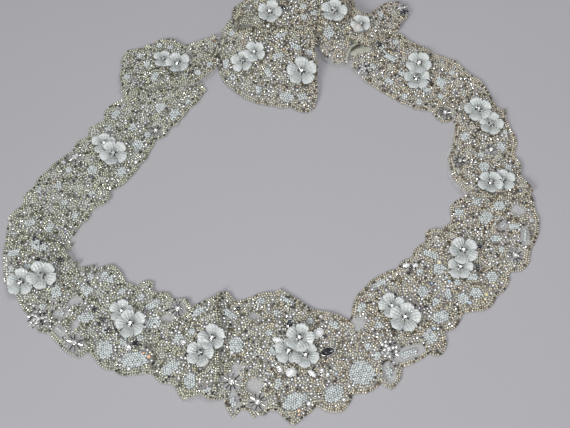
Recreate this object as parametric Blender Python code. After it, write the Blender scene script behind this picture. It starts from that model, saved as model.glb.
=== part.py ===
"""Beaded bridal sash laid flat in an oval loop, with its tails crossed in a low heap at the back.

The band is beaded net, a wall that is lofted through rungs. A rung runs across the band from its
outer edge to its inner edge, and the band's edge dips at each rung and swells in a petal between
two of them. +X is right, +Y is towards the heap and +Z is up. The sash rests on Z = 0."""

import math
from collections import namedtuple

import bmesh
import bpy
from mathutils import Matrix, Vector
from mathutils.bvhtree import BVHTree

MM = 0.001

# The band
WALL = 2.0 * MM
GAP = 0.3 * MM
SEAM = GAP / MM / 2
SEAT = 0.4 * MM
STATION = 5.0 * MM
PETAL_RELIEF = 0.6 * MM
PETAL_SHAPE = 0.8
PETAL_VALLEY = 0.5

# The tables below are laid out from a point inside the loop. This is the middle of their box.
LAYOUT_MIDDLE = Vector((-10.5 * MM, 29.5 * MM, 0.0))

# Across the band, from the outer edge at -1 to the inner edge at 1, and how much of the petals'
# relief the top has there
Across = namedtuple("Across", "place relief")
SECTION = (
    Across(-1.0, 0.0),
    Across(-0.88, 0.5),
    Across(-0.5, 1.0),
    Across(0.0, 0.2),
    Across(0.5, 1.0),
    Across(0.88, 0.5),
    Across(1.0, 0.0),
)

# A rung, in millimetres: its outer and inner ends in plan, and the height of the wall's
# underside at its outer end, middle and inner end
Rung = namedtuple("Rung", "outer_x outer_y inner_x inner_y z_outer z_mid z_inner")

# How far the edges' petals and the rounded ends stand out, in millimetres
Stretch = namedtuple("Stretch", "name outer_petal inner_petal start_round end_round rungs")

LEFT_BACK = Stretch("left_back_arm", 3.5, 3.0, 0.0, 0.0, (
    Rung(-226, -36, -180, -38, 0, 0, 0),
    Rung(-229, -10, -170, -22, 0, 0, 0),
    Rung(-221, 16, -157, -1, 0, 0, 0),
    Rung(-203, 38, -146, 14, 0, 0, 0),
    Rung(-182, 60, -136, 32, 0, 0, 0),
    Rung(-164, 84, -124, 49, 0, 0, 0),
    Rung(-149, 105, -110, 68, 0, 0, 0),
    Rung(-134, 126, -97, 83, 0, 0, 0),
    Rung(-114, 143, -82, 98, 0, 0, 0),
    Rung(-92, 156, -66, 115, 0, 0, 0),
))

LEFT_CORNER = Stretch("left_corner", 4.0, 3.5, 5.0, 0.0, (
    Rung(-219, -26, -184, -26, 3.2, 3.6, 3.2),
    Rung(-228, -36, -175, -35, 3.2, 3.6, 3.2),
    Rung(-228, -52, -169, -45, 2.2, 2.2, 2.0),
    Rung(-220, -69, -158, -49, 0.3, 0.2, 0.3),
    Rung(-203, -91, -147, -50, 0, 0, 0),
    Rung(-187, -105, -138, -52, 0, 0, 0),
))

FRONT_LEFT = Stretch("front_left", 4.0, 3.5, 0.0, 2.0, (
    Rung(-187, -105, -138, -52, 0, 0, 0),
    Rung(-166, -120, -128, -58, 0, 0, 0),
    Rung(-146, -129, -116, -61, 0, 0, 0),
    Rung(-124, -138, -103, -68, 0, 0, 0),
    Rung(-101, -138, -88, -74, 0, 0, 0),
    Rung(-82, -156, -73, -79, 0.4, 0.2, 0.6),
    Rung(-66, -156, -62, -77, 3.2, 3.4, 3.6),
    Rung(-53, -150, -52, -72, 3.2, 3.4, 4.5),
))

FRONT_CENTRE = Stretch("front_centre", 8.0, 3.0, 0.0, 0.0, (
    Rung(-61, -146, -59, -82, 0, 0, 0),
    Rung(-45, -166, -42, -75, 0, 0, 0),
    Rung(-24, -168, -20, -73, 0, 0, 0),
    Rung(-4, -168, -2, -71, 0, 0, 0),
    Rung(23, -168, 16, -81, 0, 0, 0),
    Rung(49, -161, 34, -90, 0, 0, 0),
    Rung(76, -149, 52, -94, 0, 0, 0),
))

FRONT_RIGHT = Stretch("front_right", 6.0, 4.5, 0.0, 0.0, (
    Rung(76, -149, 52, -94, 0, 0, 0),
    Rung(91, -139, 60, -72, 0, 0, 0),
    Rung(107, -125, 75, -58, 0, 0, 0),
    Rung(125, -110, 89, -49, 0, 0, 0),
    Rung(143, -90, 102, -35, 0, 0, 0),
    Rung(163, -80, 115, -21, 0, 0, 0),
    Rung(183, -59, 127, -14, 0, 0, 0),
    Rung(200, -39, 137, -6, 0, 0, 0),
    Rung(208, -11, 144, 7, 0, 0, 0),
    Rung(204, 24, 156, 20, 0, 0, 0),
))

RIGHT_SIDE = Stretch("right_side", 2.5, 3.0, 0.0, 4.0, (
    Rung(184, 118, 143, 85, 0, 0, 0),
    Rung(193, 98, 140, 70, 0, 0, 0),
    Rung(197, 77, 136, 52, 0, 0, 0),
    Rung(199, 58, 138, 37, 0, 0, 0.8),
    Rung(202, 38, 146, 26, 2.0, 2.4, 3.4),
    Rung(204, 18, 156, 14, 3.2, 3.4, 4.2),
))

RIGHT_BACK = Stretch("right_back_arm", 3.0, 3.5, 2.5, 0.0, (
    Rung(64, 170, 58, 146, 3.6, 4.6, 2.4),
    Rung(80, 177, 67, 137, 2.0, 2.8, 0.8),
    Rung(97, 181, 77, 129, 0, 0.6, 0),
    Rung(113, 174, 88, 122, 0, 0, 0),
    Rung(130, 165, 101, 110, 0, 0, 0),
    Rung(150, 153, 116, 102, 0, 0, 0),
    Rung(168, 137, 130, 95, 0, 0, 0),
    Rung(184, 118, 143, 85, 0, 0, 0),
))

TAIL_STRIP = Stretch("tail_strip", 3.0, 2.5, 2.0, 3.4, (
    Rung(-144, 152, -143, 115, 0.3, 3.2, 3.8),
    Rung(-127, 163, -122, 114, 0.3, 3.6, 4.2),
    Rung(-108, 169, -104, 119, 0.3, 3.8, 4.6),
    Rung(-90, 165, -86, 123, 1.5, 3.8, 4.6),
    Rung(-73, 170, -70, 130, 2.0, 3.8, 4.0),
    Rung(-62, 168, -61, 142, 2.4, 3.8, 3.6),
))

FRONT_LOBE = Stretch("front_lobe", 4.0, 1.5, 1.0, 3.0, (
    Rung(-58, 143, -55, 182, 0.2, 2.0, 4.0),
    Rung(-45, 124, -44, 178, 0, 6.5, 9.5),
    Rung(-24, 112, -25, 177, 0, 8.5, 12.8),
    Rung(-3, 105, -5, 177, 0, 9.0, 13.4),
    Rung(13, 99, 12, 176, 0, 8.0, 13.4),
    Rung(26, 103, 25.5, 168, 0, 5.4, 10.8),
))

ROUNDED_FOLD = Stretch("rounded_fold", 2.0, 2.0, 2.0, 4.0, (
    Rung(28, 198, 54, 200, 14.8, 16.0, 13.5),
    Rung(28.5, 182, 57, 186, 14.8, 16.0, 12.5),
    Rung(31, 168, 58, 170, 9.5, 12.0, 7.2),
    Rung(33, 157, 56.5, 158, 3.5, 6.5, 3.0),
    Rung(38, 150, 54, 149, 0.6, 2.0, 0.8),
))

POINTED_TIP = Stretch("pointed_tip", 2.5, 2.5, 0.0, 5.0, (
    Rung(61, 197, 68, 168, 10.0, 9.6, 8.4),
    Rung(75, 203, 84, 168, 6.8, 7.0, 5.2),
    Rung(89, 209, 100, 182, 3.6, 4.2, 3.1),
    Rung(101, 213, 111, 197, 2.0, 3.0, 2.4),
))

STRETCHES = (
    LEFT_BACK, LEFT_CORNER, FRONT_LEFT, FRONT_CENTRE, FRONT_RIGHT, RIGHT_SIDE,
    RIGHT_BACK, TAIL_STRIP, FRONT_LOBE, ROUNDED_FOLD, POINTED_TIP,
)

# The heap's hidden folds are one rounded solid. Each of its layers is a step in its side: how far
# the step stands in from the outline, and the heights it spans, in millimetres
Layer = namedtuple("Layer", "inset low high")
HEAP_MIDDLE = (8.0, 198.0)
HEAP_HALF = (56.0, 31.0)
HEAP_LAYERS = (
    Layer(0.0, 0.0, 2.6),
    Layer(2.2, 3.2, 5.8),
    Layer(4.8, 6.4, 9.0),
    Layer(8.0, 9.6, 12.0),
)
HEAP_GROOVE = 1.6
HEAP_CROWN = ((14.0, 13.2), (21.0, 13.9))
HEAP_TOP = 14.2
HEAP_SIDES = 40
HEAP_PETALS = 9
HEAP_PETAL = 2.4

# Flowers: a cupped dish of five petals round a stone
FLOWER_RADIUS = 12.0 * MM
PETALS = 5
SIDES_PER_PETAL = 4
PETAL_DIP = 0.34
PETAL_WALL = 1.0 * MM
PETAL_BASE = 1.3 * MM
PETAL_CUP = 2.6 * MM
PETAL_ROUNDNESS = 0.6
CUP_CURVE = 1.6
CUP_AT_DIP = 0.4
FOOT = 0.38
PETAL_MIDDLE = 0.62
STONE_EDGE = 0.26
STONE_EDGE_TOP = 1.5 * MM
STONE_SHOULDER = 0.16
STONE_SHOULDER_TOP = 3.3 * MM
STONE_TOP = 4.0 * MM
SEAT_RINGS = (0.0, 0.4, 0.75, 1.0)
SEAT_SIDES = 12
SEAT_REACH = 60.0 * MM
DIP_UNDERSIDE = PETAL_BASE + PETAL_CUP * CUP_AT_DIP - PETAL_WALL

# One flower: its place in plan in millimetres, how far it is turned in degrees, its size beside
# the usual one, and how far it is lifted over its neighbour in millimetres
Flower = namedtuple("Flower", "x y turn size lift")
FLOWERS = {
    "flowers_left_corner": (Flower(-213, -63, 20, 1.0, 0.0), Flower(-196, -58, 50, 1.05, 1.5)),
    "flowers_front_left": (Flower(-130, -88, 10, 0.85, 0.0), Flower(-122, -99, 35, 1.05, 1.7)),
    "flowers_front_inner": (Flower(-66, -124, 0, 1.0, 0.0), Flower(-57, -112, 25, 0.95, 1.6)),
    "flowers_centre": (
        Flower(3, -121, 15, 0.95, 0.0),
        Flower(16, -125, 50, 0.95, 1.0),
        Flower(11, -111, 0, 1.0, 2.2),
    ),
    "flowers_front_right": (Flower(85, -84, 30, 0.95, 0.0), Flower(95, -94, 5, 1.1, 1.7)),
    "flowers_right_corner": (Flower(142, -50, 12, 0.9, 0.0), Flower(145, -36, 40, 1.05, 1.6)),
    "flowers_side_low": (Flower(183, 28, 20, 0.9, 0.0), Flower(172, 25, 55, 0.95, 1.5)),
    "flowers_side_high": (Flower(178, 84, 0, 0.95, 0.0), Flower(168, 98, 30, 1.05, 1.6)),
    "flowers_back_right": (Flower(116, 131, 25, 1.0, 0.0), Flower(119, 146, 55, 1.0, 1.6)),
    "flowers_left_back": (Flower(-155, 65, 18, 0.9, 0.0), Flower(-146, 54, 45, 1.05, 1.6)),
    "flowers_tail": (Flower(-108, 149, 5, 0.8, 0.0), Flower(-95, 144, 35, 0.95, 1.5)),
    "flowers_lobe_left": (Flower(-37, 145, 15, 0.9, 0.0), Flower(-27, 152, 45, 0.85, 1.4)),
    "flower_lobe_right": (Flower(14, 134, 20, 1.15, 0.0),),
    "flower_heap_top": (Flower(-14, 194, 0, 1.0, 0.0),),
    "flower_fold": (Flower(44, 192, 10, 1.05, 0.0),),
    "flower_tip": (Flower(68, 183, 40, 0.8, 0.0),),
}

# Colours as seen in daylight
BEAD_COLOUR = (0.52, 0.49, 0.41, 1.0)
FLOWER_COLOUR = (0.82, 0.85, 0.84, 1.0)


def clear_scene():
    for thing in list(bpy.data.objects):
        bpy.data.objects.remove(thing, do_unlink=True)


def new_collection(name):
    collection = bpy.data.collections.new(name)
    bpy.context.scene.collection.children.link(collection)
    return collection


def new_material(name, colour, roughness, metallic):
    material = bpy.data.materials.new(name)
    material.use_nodes = True
    shader = material.node_tree.nodes["Principled BSDF"]
    shader.inputs["Base Color"].default_value = colour
    shader.inputs["Roughness"].default_value = roughness
    shader.inputs["Metallic"].default_value = metallic
    return material


def curve_value(values, step, part):
    """A Catmull-Rom curve through values, a share part of the way from one step to the next."""
    last = len(values) - 1
    before = values[max(step - 1, 0)]
    start = values[step]
    end = values[min(step + 1, last)]
    after = values[min(step + 2, last)]
    lean_in = (end - before) / 2
    lean_out = (after - start) / 2
    square = part * part
    cube = square * part
    return (
        (2 * cube - 3 * square + 1) * start
        + (cube - 2 * square + part) * lean_in
        + (3 * square - 2 * cube) * end
        + (cube - square) * lean_out
    )


def eased(values, step, part):
    """A smooth step from one value to the next, which never passes either."""
    share = part * part * (3 - 2 * part)
    return values[step] + (values[min(step + 1, len(values) - 1)] - values[step]) * share


def stations(rungs):
    """Where the sections lie: pairs of a rung's number and a share of the way to the next."""
    found = []
    for number, (one, two) in enumerate(zip(rungs, rungs[1:])):
        outer = math.hypot(two.outer_x - one.outer_x, two.outer_y - one.outer_y)
        inner = math.hypot(two.inner_x - one.inner_x, two.inner_y - one.inner_y)
        count = max(3, round((outer + inner) / 2 * MM / STATION))
        found += [(number, k / count) for k in range(count)]
    found.append((len(rungs) - 2, 1.0))
    return found


def underside(stretch):
    """The grid of points under a stretch, section by section, and each section's petal share."""
    columns = list(zip(*stretch.rungs))
    middle = [
        Vector(((r.outer_x + r.inner_x) / 2, (r.outer_y + r.inner_y) / 2)) for r in stretch.rungs
    ]
    start_way = (middle[0] - middle[1]).normalized()
    end_way = (middle[-1] - middle[-2]).normalized()
    last = len(stretch.rungs) - 2
    grid = []
    shares = []
    for step, part in stations(stretch.rungs):
        plan = [curve_value(columns[k], step, part) for k in range(4)]
        heights = [eased(columns[k], step, part) for k in range(4, 7)]
        outer = Vector(plan[:2])
        inner = Vector(plan[2:])
        outward = (outer - inner).normalized()
        petal = math.sin(math.pi * part) ** PETAL_SHAPE
        outer += outward * (stretch.outer_petal * (petal - PETAL_VALLEY))
        inner -= outward * (stretch.inner_petal * (petal - PETAL_VALLEY))
        row = []
        for place, _ in SECTION:
            point = outer.lerp(inner, (place + 1) / 2)
            hump = 1 - place * place
            if step == 0:
                rest = 1 - part
                point += start_way * (stretch.start_round * hump * rest ** 2 - SEAM * rest)
            if step == last:
                point += end_way * (stretch.end_round * hump * part ** 2 - SEAM * part)
            z = (
                heights[0] * place * (place - 1) / 2
                + heights[1] * hump
                + heights[2] * place * (place + 1) / 2
            )
            row.append(Vector((point.x, point.y, max(z, 0.0))) * MM - LAYOUT_MIDDLE)
        grid.append(row)
        shares.append(petal)
    return grid, shares


def surface_normal(grid, row, column):
    """The upward normal of a grid at one of its points."""
    along = grid[min(row + 1, len(grid) - 1)][column] - grid[max(row - 1, 0)][column]
    across = grid[row][min(column + 1, len(grid[0]) - 1)] - grid[row][max(column - 1, 0)]
    normal = along.cross(across).normalized()
    return normal if normal.z > 0 else -normal


def add_object(name, mesh, material, collection):
    mesh.materials.append(material)
    thing = bpy.data.objects.new(name, mesh)
    collection.objects.link(thing)
    return thing


def finish_mesh(bm, name):
    bmesh.ops.recalc_face_normals(bm, faces=bm.faces)
    mesh = bpy.data.meshes.new(name)
    bm.to_mesh(mesh)
    bm.free()
    mesh.shade_smooth()
    mesh.set_sharp_from_angle(angle=math.radians(40))
    return mesh


def make_stretch(stretch, material, collection):
    """A wall between a grid of points and the same grid moved out by the wall and its relief."""
    low, shares = underside(stretch)
    columns = len(SECTION)
    high = [
        [
            low[i][j]
            + surface_normal(low, i, j) * (WALL + PETAL_RELIEF * SECTION[j].relief * shares[i])
            for j in range(columns)
        ]
        for i in range(len(low))
    ]
    bm = bmesh.new()
    under = [[bm.verts.new(point) for point in row] for row in low]
    over = [[bm.verts.new(point) for point in row] for row in high]
    last = len(low) - 1
    for i in range(last):
        for j in range(columns - 1):
            bm.faces.new((over[i][j], over[i][j + 1], over[i + 1][j + 1], over[i + 1][j]))
            bm.faces.new((under[i][j], under[i + 1][j], under[i + 1][j + 1], under[i][j + 1]))
        for j in (0, columns - 1):
            bm.faces.new((under[i][j], over[i][j], over[i + 1][j], under[i + 1][j]))
    for i in (0, last):
        for j in range(columns - 1):
            bm.faces.new((under[i][j], under[i][j + 1], over[i][j + 1], over[i][j]))
    return add_object(stretch.name, finish_mesh(bm, stretch.name), material, collection)


def skin_rings(bm, rings):
    """Closes a stack of rings of the same count with a point at each end. Rings are vertices."""
    first, *between, last = rings
    count = len(between[0])
    for k in range(count):
        bm.faces.new((first[0], between[0][k], between[0][(k + 1) % count]))
        bm.faces.new((last[0], between[-1][(k + 1) % count], between[-1][k]))
    for low, high in zip(between, between[1:]):
        for k in range(count):
            after = (k + 1) % count
            bm.faces.new((low[k], high[k], high[after], low[after]))


def heap_ring(inset, z):
    """The heap's scalloped outline, moved in by inset, at height z."""
    points = []
    for k in range(HEAP_SIDES):
        turn = 2 * math.pi * k / HEAP_SIDES
        swell = HEAP_PETAL * abs(math.cos(HEAP_PETALS * turn / 2)) - inset
        x = HEAP_MIDDLE[0] + (HEAP_HALF[0] + swell) * math.cos(turn)
        y = HEAP_MIDDLE[1] + (HEAP_HALF[1] + swell) * math.sin(turn)
        points.append(Vector((x, y, z)) * MM - LAYOUT_MIDDLE)
    return points


def make_heap(material, collection):
    """The hidden folds as one rounded solid, stepped at its side like layers of the band."""
    bm = bmesh.new()
    centre = Vector((*HEAP_MIDDLE, 0.0)) * MM - LAYOUT_MIDDLE
    rings = [[bm.verts.new(centre)]]
    for layer in HEAP_LAYERS:
        rings.append([bm.verts.new(p) for p in heap_ring(layer.inset, layer.low)])
        rings.append([bm.verts.new(p) for p in heap_ring(layer.inset, layer.high)])
        groove = heap_ring(layer.inset + HEAP_GROOVE, layer.high + GAP / MM)
        rings.append([bm.verts.new(p) for p in groove])
    for inset, z in HEAP_CROWN:
        rings.append([bm.verts.new(p) for p in heap_ring(inset, z)])
    rings.append([bm.verts.new(centre + Vector((0, 0, HEAP_TOP * MM)))])
    skin_rings(bm, rings)
    return add_object("heap_core", finish_mesh(bm, "heap_core"), material, collection)


def petal_wave(turn):
    """1 at a petal's tip and 0 between two petals."""
    return abs(math.cos(PETALS * turn / 2)) ** PETAL_ROUNDNESS


def petal_top(turn, share):
    """The height of a flower's upper face, a share of the way out to its edge."""
    rise = CUP_AT_DIP + (1 - CUP_AT_DIP) * petal_wave(turn)
    return PETAL_BASE + PETAL_CUP * share ** CUP_CURVE * rise


def flower_ring(bm, share, height):
    count = PETALS * SIDES_PER_PETAL
    ring = []
    for k in range(count):
        turn = 2 * math.pi * k / count
        reach = FLOWER_RADIUS * share
        if share > FOOT:
            reach *= 1 - PETAL_DIP * (1 - petal_wave(turn))
        z = height(turn) if callable(height) else height
        ring.append(bm.verts.new((reach * math.cos(turn), reach * math.sin(turn), z)))
    return ring


def make_flower_mesh():
    """One moulded flower round its own axis, with its foot on Z = 0."""
    bm = bmesh.new()
    rings = [
        [bm.verts.new((0, 0, 0))],
        flower_ring(bm, FOOT, 0.0),
        flower_ring(bm, 1.0, lambda turn: petal_top(turn, 1.0) - PETAL_WALL),
        flower_ring(bm, 1.0, lambda turn: petal_top(turn, 1.0)),
        flower_ring(bm, PETAL_MIDDLE, lambda turn: petal_top(turn, PETAL_MIDDLE)),
        flower_ring(bm, STONE_EDGE, STONE_EDGE_TOP),
        flower_ring(bm, STONE_SHOULDER, STONE_SHOULDER_TOP),
        [bm.verts.new((0, 0, STONE_TOP))],
    ]
    skin_rings(bm, rings)
    return finish_mesh(bm, "moulded_flower")


def ground_tree(things):
    """One search tree over the faces of the walls that carry the flowers."""
    points = []
    faces = []
    for thing in things:
        start = len(points)
        points += [v.co.copy() for v in thing.data.vertices]
        faces += [[start + k for k in face.vertices] for face in thing.data.polygons]
    return BVHTree.FromPolygons(points, faces)


def height_at(tree, x, y):
    hit, _, _, _ = tree.ray_cast(Vector((x, y, SEAT_REACH)), Vector((0, 0, -1)))
    return hit.z if hit else None


def seat_flower(tree, flower):
    """The matrix that sets a flower's foot a gap above what carries it, along its slope."""
    radius = FLOWER_RADIUS * flower.size
    x = flower.x * MM - LAYOUT_MIDDLE.x
    y = flower.y * MM - LAYOUT_MIDDLE.y
    middle = height_at(tree, x, y) or 0.0
    slopes = []
    for dx, dy in ((1, 0), (0, 1)):
        step = radius * 0.5
        low = height_at(tree, x - dx * step, y - dy * step)
        high = height_at(tree, x + dx * step, y + dy * step)
        slopes.append(0.0 if low is None or high is None else (high - low) / (2 * step))
    axis = Vector((-slopes[0], -slopes[1], 1)).normalized()
    turn = Vector((0, 0, 1)).rotation_difference(axis).to_matrix()
    turn = turn @ Matrix.Rotation(math.radians(flower.turn), 3, "Z")
    foot = Vector((x, y, middle))
    lift = 0.0
    for share in SEAT_RINGS:
        for k in range(SEAT_SIDES):
            way = 2 * math.pi * k / SEAT_SIDES
            local = Vector((math.cos(way), math.sin(way), 0)) * (radius * share)
            start = foot + turn @ local + axis * SEAT_REACH
            hit, _, _, _ = tree.ray_cast(start, -axis)
            if hit:
                rise = SEAT_REACH - (start - hit).length
                curl = max(0.0, (share - FOOT) / (1 - FOOT)) * DIP_UNDERSIDE
                lift = max(lift, rise - curl)
    place = foot + axis * (lift + SEAT + flower.lift * MM)
    size = Matrix.Diagonal((flower.size, flower.size, flower.size))
    return Matrix.Translation(place) @ (turn @ size).to_4x4()


def make_flowers(tree, material, parts, cutters):
    """Each group of flowers as one node: the first, joined by Boolean unions to the others."""
    shape = make_flower_mesh()
    for name, group in FLOWERS.items():
        first = None
        for number, flower in enumerate(group):
            mesh = shape.copy()
            mesh.transform(seat_flower(tree, flower))
            if first is None:
                mesh.name = name
                first = add_object(name, mesh, material, parts)
                continue
            other = add_object(f"{name}_{number}", mesh, material, cutters)
            other.hide_render = True
            other.display_type = "WIRE"
            union = first.modifiers.new("Join", "BOOLEAN")
            union.operation = "UNION"
            union.solver = "EXACT"
            union.object = other


def main():
    clear_scene()
    parts = new_collection("Bridal sash")
    cutters = new_collection("Joined flowers")
    walls = []
    for stretch in STRETCHES:
        beads = new_material(f"beaded net, {stretch.name}", BEAD_COLOUR, 0.35, 0.3)
        walls.append(make_stretch(stretch, beads, parts))
    heap_beads = new_material("beaded net, heap", BEAD_COLOUR, 0.35, 0.3)
    walls.append(make_heap(heap_beads, parts))
    petals = new_material("moulded petals", FLOWER_COLOUR, 0.3, 0.0)
    make_flowers(ground_tree(walls), petals, parts, cutters)


main()
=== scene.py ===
"""Beaded bridal sash laid in an oval loop: net shells on the band's solids, seed beads sewn in
petals and leaves, moulded flowers, stones, bugle bursts and pearls."""

import math
import random
from collections import defaultdict, namedtuple
from math import cos, hypot, pi, radians, sin, tau

import bpy
import numpy as np
from mathutils import Matrix, Vector
from mathutils.bvhtree import BVHTree
from mathutils.kdtree import KDTree


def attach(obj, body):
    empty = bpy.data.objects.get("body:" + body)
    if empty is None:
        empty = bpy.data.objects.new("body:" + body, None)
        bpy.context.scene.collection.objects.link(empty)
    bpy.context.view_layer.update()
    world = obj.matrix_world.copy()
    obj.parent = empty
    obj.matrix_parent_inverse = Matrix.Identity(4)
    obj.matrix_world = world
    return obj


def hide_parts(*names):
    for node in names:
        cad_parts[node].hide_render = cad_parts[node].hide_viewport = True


MM = 0.001
SEED = 20

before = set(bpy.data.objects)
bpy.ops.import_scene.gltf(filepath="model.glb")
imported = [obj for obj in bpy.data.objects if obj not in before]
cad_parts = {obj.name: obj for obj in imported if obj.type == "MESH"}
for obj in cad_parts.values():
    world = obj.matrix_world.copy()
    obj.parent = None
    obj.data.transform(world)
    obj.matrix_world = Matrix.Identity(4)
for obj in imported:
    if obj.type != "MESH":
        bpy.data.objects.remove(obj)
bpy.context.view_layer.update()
draw = random.Random(SEED)

# The tables are laid out from a point inside the loop. This is the middle of their box.
LAYOUT_MIDDLE = Vector((-10.5, 29.5, 0.0)) * MM

# The camera, in the layout: what it looks at, how far away it stands, and its focal length in pixels
IMAGE = (570.0, 428.0)
FOCAL = 1100.0
TILT = radians(64.0)
DISTANCE = 0.917
LOOK_AT = Vector((0.0, 0.0, 0.0)) - LAYOUT_MIDDLE
LOOK_FROM = LOOK_AT + Vector((0.0, -cos(TILT), sin(TILT))) * DISTANCE
SENSOR = 36.0

# The band: the net's thickness, the pitch of its rows of points and their number across, the swell of
# its petals, and the bare rim outside the beads
NET = 0.35 * MM
STATION = 1.9 * MM
COLUMNS = 26
PETAL_RELIEF = 0.6
PETAL_SHAPE = 0.8
PETAL_VALLEY = 0.5
END_PETALS = 2.5
END_PETAL = 1.8
RIM = 0.1
RIM_PITCH = 0.5 * MM

Rung = namedtuple("Rung", "outer_x outer_y inner_x inner_y z_outer z_mid z_inner", defaults=(0, 0, 0))
Stretch = namedtuple("Stretch", "name outer_petal inner_petal start_round end_round rungs")


def stretch_of(name, outer_petal, inner_petal, start_round, end_round, *rungs):
    return Stretch(name, outer_petal, inner_petal, start_round, end_round, [Rung(*r) for r in rungs])


STRETCHES = (
    stretch_of(
        "left_back_arm", 3.5, 3.0, 0.0, 0.0,
        (-226, -36, -180, -38), (-229, -10, -170, -22), (-221, 16, -157, -1), (-203, 38, -146, 14),
        (-182, 60, -136, 32), (-164, 84, -124, 49), (-149, 105, -110, 68), (-134, 126, -97, 83),
        (-114, 143, -82, 98), (-92, 156, -66, 115),
    ),
    stretch_of(
        "left_corner", 4.0, 3.5, 5.0, 0.0,
        (-219, -26, -184, -26, 3.2, 3.6, 3.2), (-228, -36, -175, -35, 3.2, 3.6, 3.2),
        (-228, -52, -169, -45, 2.2, 2.2, 2.0), (-220, -69, -158, -49, 0.3, 0.2, 0.3),
        (-203, -91, -147, -50), (-187, -105, -138, -52),
    ),
    stretch_of(
        "front_left", 4.0, 3.5, 0.0, 2.0,
        (-187, -105, -138, -52), (-166, -120, -128, -58), (-146, -129, -116, -61),
        (-124, -138, -103, -68), (-101, -138, -88, -74), (-82, -156, -73, -79, 0.4, 0.2, 0.6),
        (-66, -156, -62, -77, 3.2, 3.4, 3.6), (-53, -150, -52, -72, 3.2, 3.4, 4.5),
    ),
    stretch_of(
        "front_centre", 8.0, 3.0, 0.0, 0.0,
        (-61, -146, -59, -82), (-45, -166, -42, -75), (-24, -168, -20, -73), (-4, -168, -2, -71),
        (23, -168, 16, -81), (49, -161, 34, -90), (76, -149, 52, -94),
    ),
    stretch_of(
        "front_right", 6.0, 4.5, 0.0, 0.0,
        (76, -149, 52, -94), (91, -139, 60, -72), (107, -125, 75, -58), (125, -110, 89, -49),
        (143, -90, 102, -35), (163, -80, 115, -21), (183, -59, 127, -14), (200, -39, 137, -6),
        (208, -11, 144, 7), (204, 24, 156, 20),
    ),
    stretch_of(
        "right_side", 2.5, 3.0, 0.0, 4.0,
        (184, 118, 143, 85), (193, 98, 140, 70), (197, 77, 136, 52), (199, 58, 138, 37, 0, 0, 0.8),
        (202, 38, 146, 26, 2.0, 2.4, 3.4), (204, 18, 156, 14, 3.2, 3.4, 4.2),
    ),
    stretch_of(
        "right_back_arm", 3.0, 3.5, 6.0, 0.0,
        (64, 170, 58, 146, 3.6, 4.6, 2.4), (80, 177, 67, 137, 2.0, 2.8, 0.8),
        (97, 181, 77, 129, 0, 0.6, 0), (113, 174, 88, 122), (130, 165, 101, 110), (150, 153, 116, 102),
        (168, 137, 130, 95), (184, 118, 143, 85),
    ),
    stretch_of(
        "tail_strip", 3.0, 2.5, 2.0, 3.4,
        (-144, 152, -143, 115, 0.3, 3.2, 3.8), (-127, 163, -122, 114, 0.3, 3.6, 4.2),
        (-108, 169, -104, 119, 0.3, 3.8, 4.6), (-90, 165, -86, 123, 1.5, 3.8, 4.6),
        (-73, 170, -70, 130, 2.0, 3.8, 4.0), (-62, 168, -61, 142, 2.4, 3.8, 3.6),
    ),
    stretch_of(
        "front_lobe", 4.0, 1.5, 2.4, 3.0,
        (-58, 143, -55, 182, 0.2, 2.0, 4.0), (-45, 124, -44, 178, 0, 6.5, 9.5),
        (-24, 112, -25, 177, 0, 8.5, 12.8), (-3, 105, -5, 177, 0, 9.0, 13.4),
        (13, 99, 12, 176, 0, 8.0, 13.4), (26, 103, 25.5, 168, 0, 5.4, 10.8),
    ),
    stretch_of(
        "rounded_fold", 2.0, 2.0, 2.0, 4.0,
        (28, 198, 54, 200, 14.8, 16.0, 13.5), (28.5, 182, 57, 186, 14.8, 16.0, 12.5),
        (31, 168, 58, 170, 9.5, 12.0, 7.2), (33, 157, 56.5, 158, 3.5, 6.5, 3.0),
        (38, 150, 54, 149, 0.6, 2.0, 0.8),
    ),
    stretch_of(
        "pointed_tip", 2.5, 2.5, 13.0, 5.0,
        (61, 197, 68, 168, 10.0, 9.6, 8.4), (75, 203, 84, 168, 6.8, 7.0, 5.2),
        (89, 209, 100, 182, 3.6, 4.2, 3.1), (101, 213, 111, 197, 2.0, 3.0, 2.4),
    ),
)

# Which of a stretch's ends show an edge of their own: start, end
FREE_ENDS = {
    "left_corner": (True, False),
    "front_left": (False, True),
    "right_side": (False, True),
    "right_back_arm": (True, False),
    "tail_strip": (True, False),
    "front_lobe": (True, True),
    "rounded_fold": (True, True),
    "pointed_tip": (True, True),
}

# The width of the bare net outside the last row of beads, in millimetres, where it isn't the usual:
# at the outer edge, the inner edge, the start and the end
RIMS = {
    "left_back_arm": (0.1, 1.3, 0.1, 0.1),
    "right_side": (0.1, 3.0, 0.1, 0.1),
    "tail_strip": (0.1, 1.8, 0.3, 0.1),
    "right_back_arm": (0.1, 1.3, 2.4, 0.1),
    "front_lobe": (0.1, 0.0, 0.1, 0.1),
    "rounded_fold": (1.2, 0.1, 0.1, 1.6),
}

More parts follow.
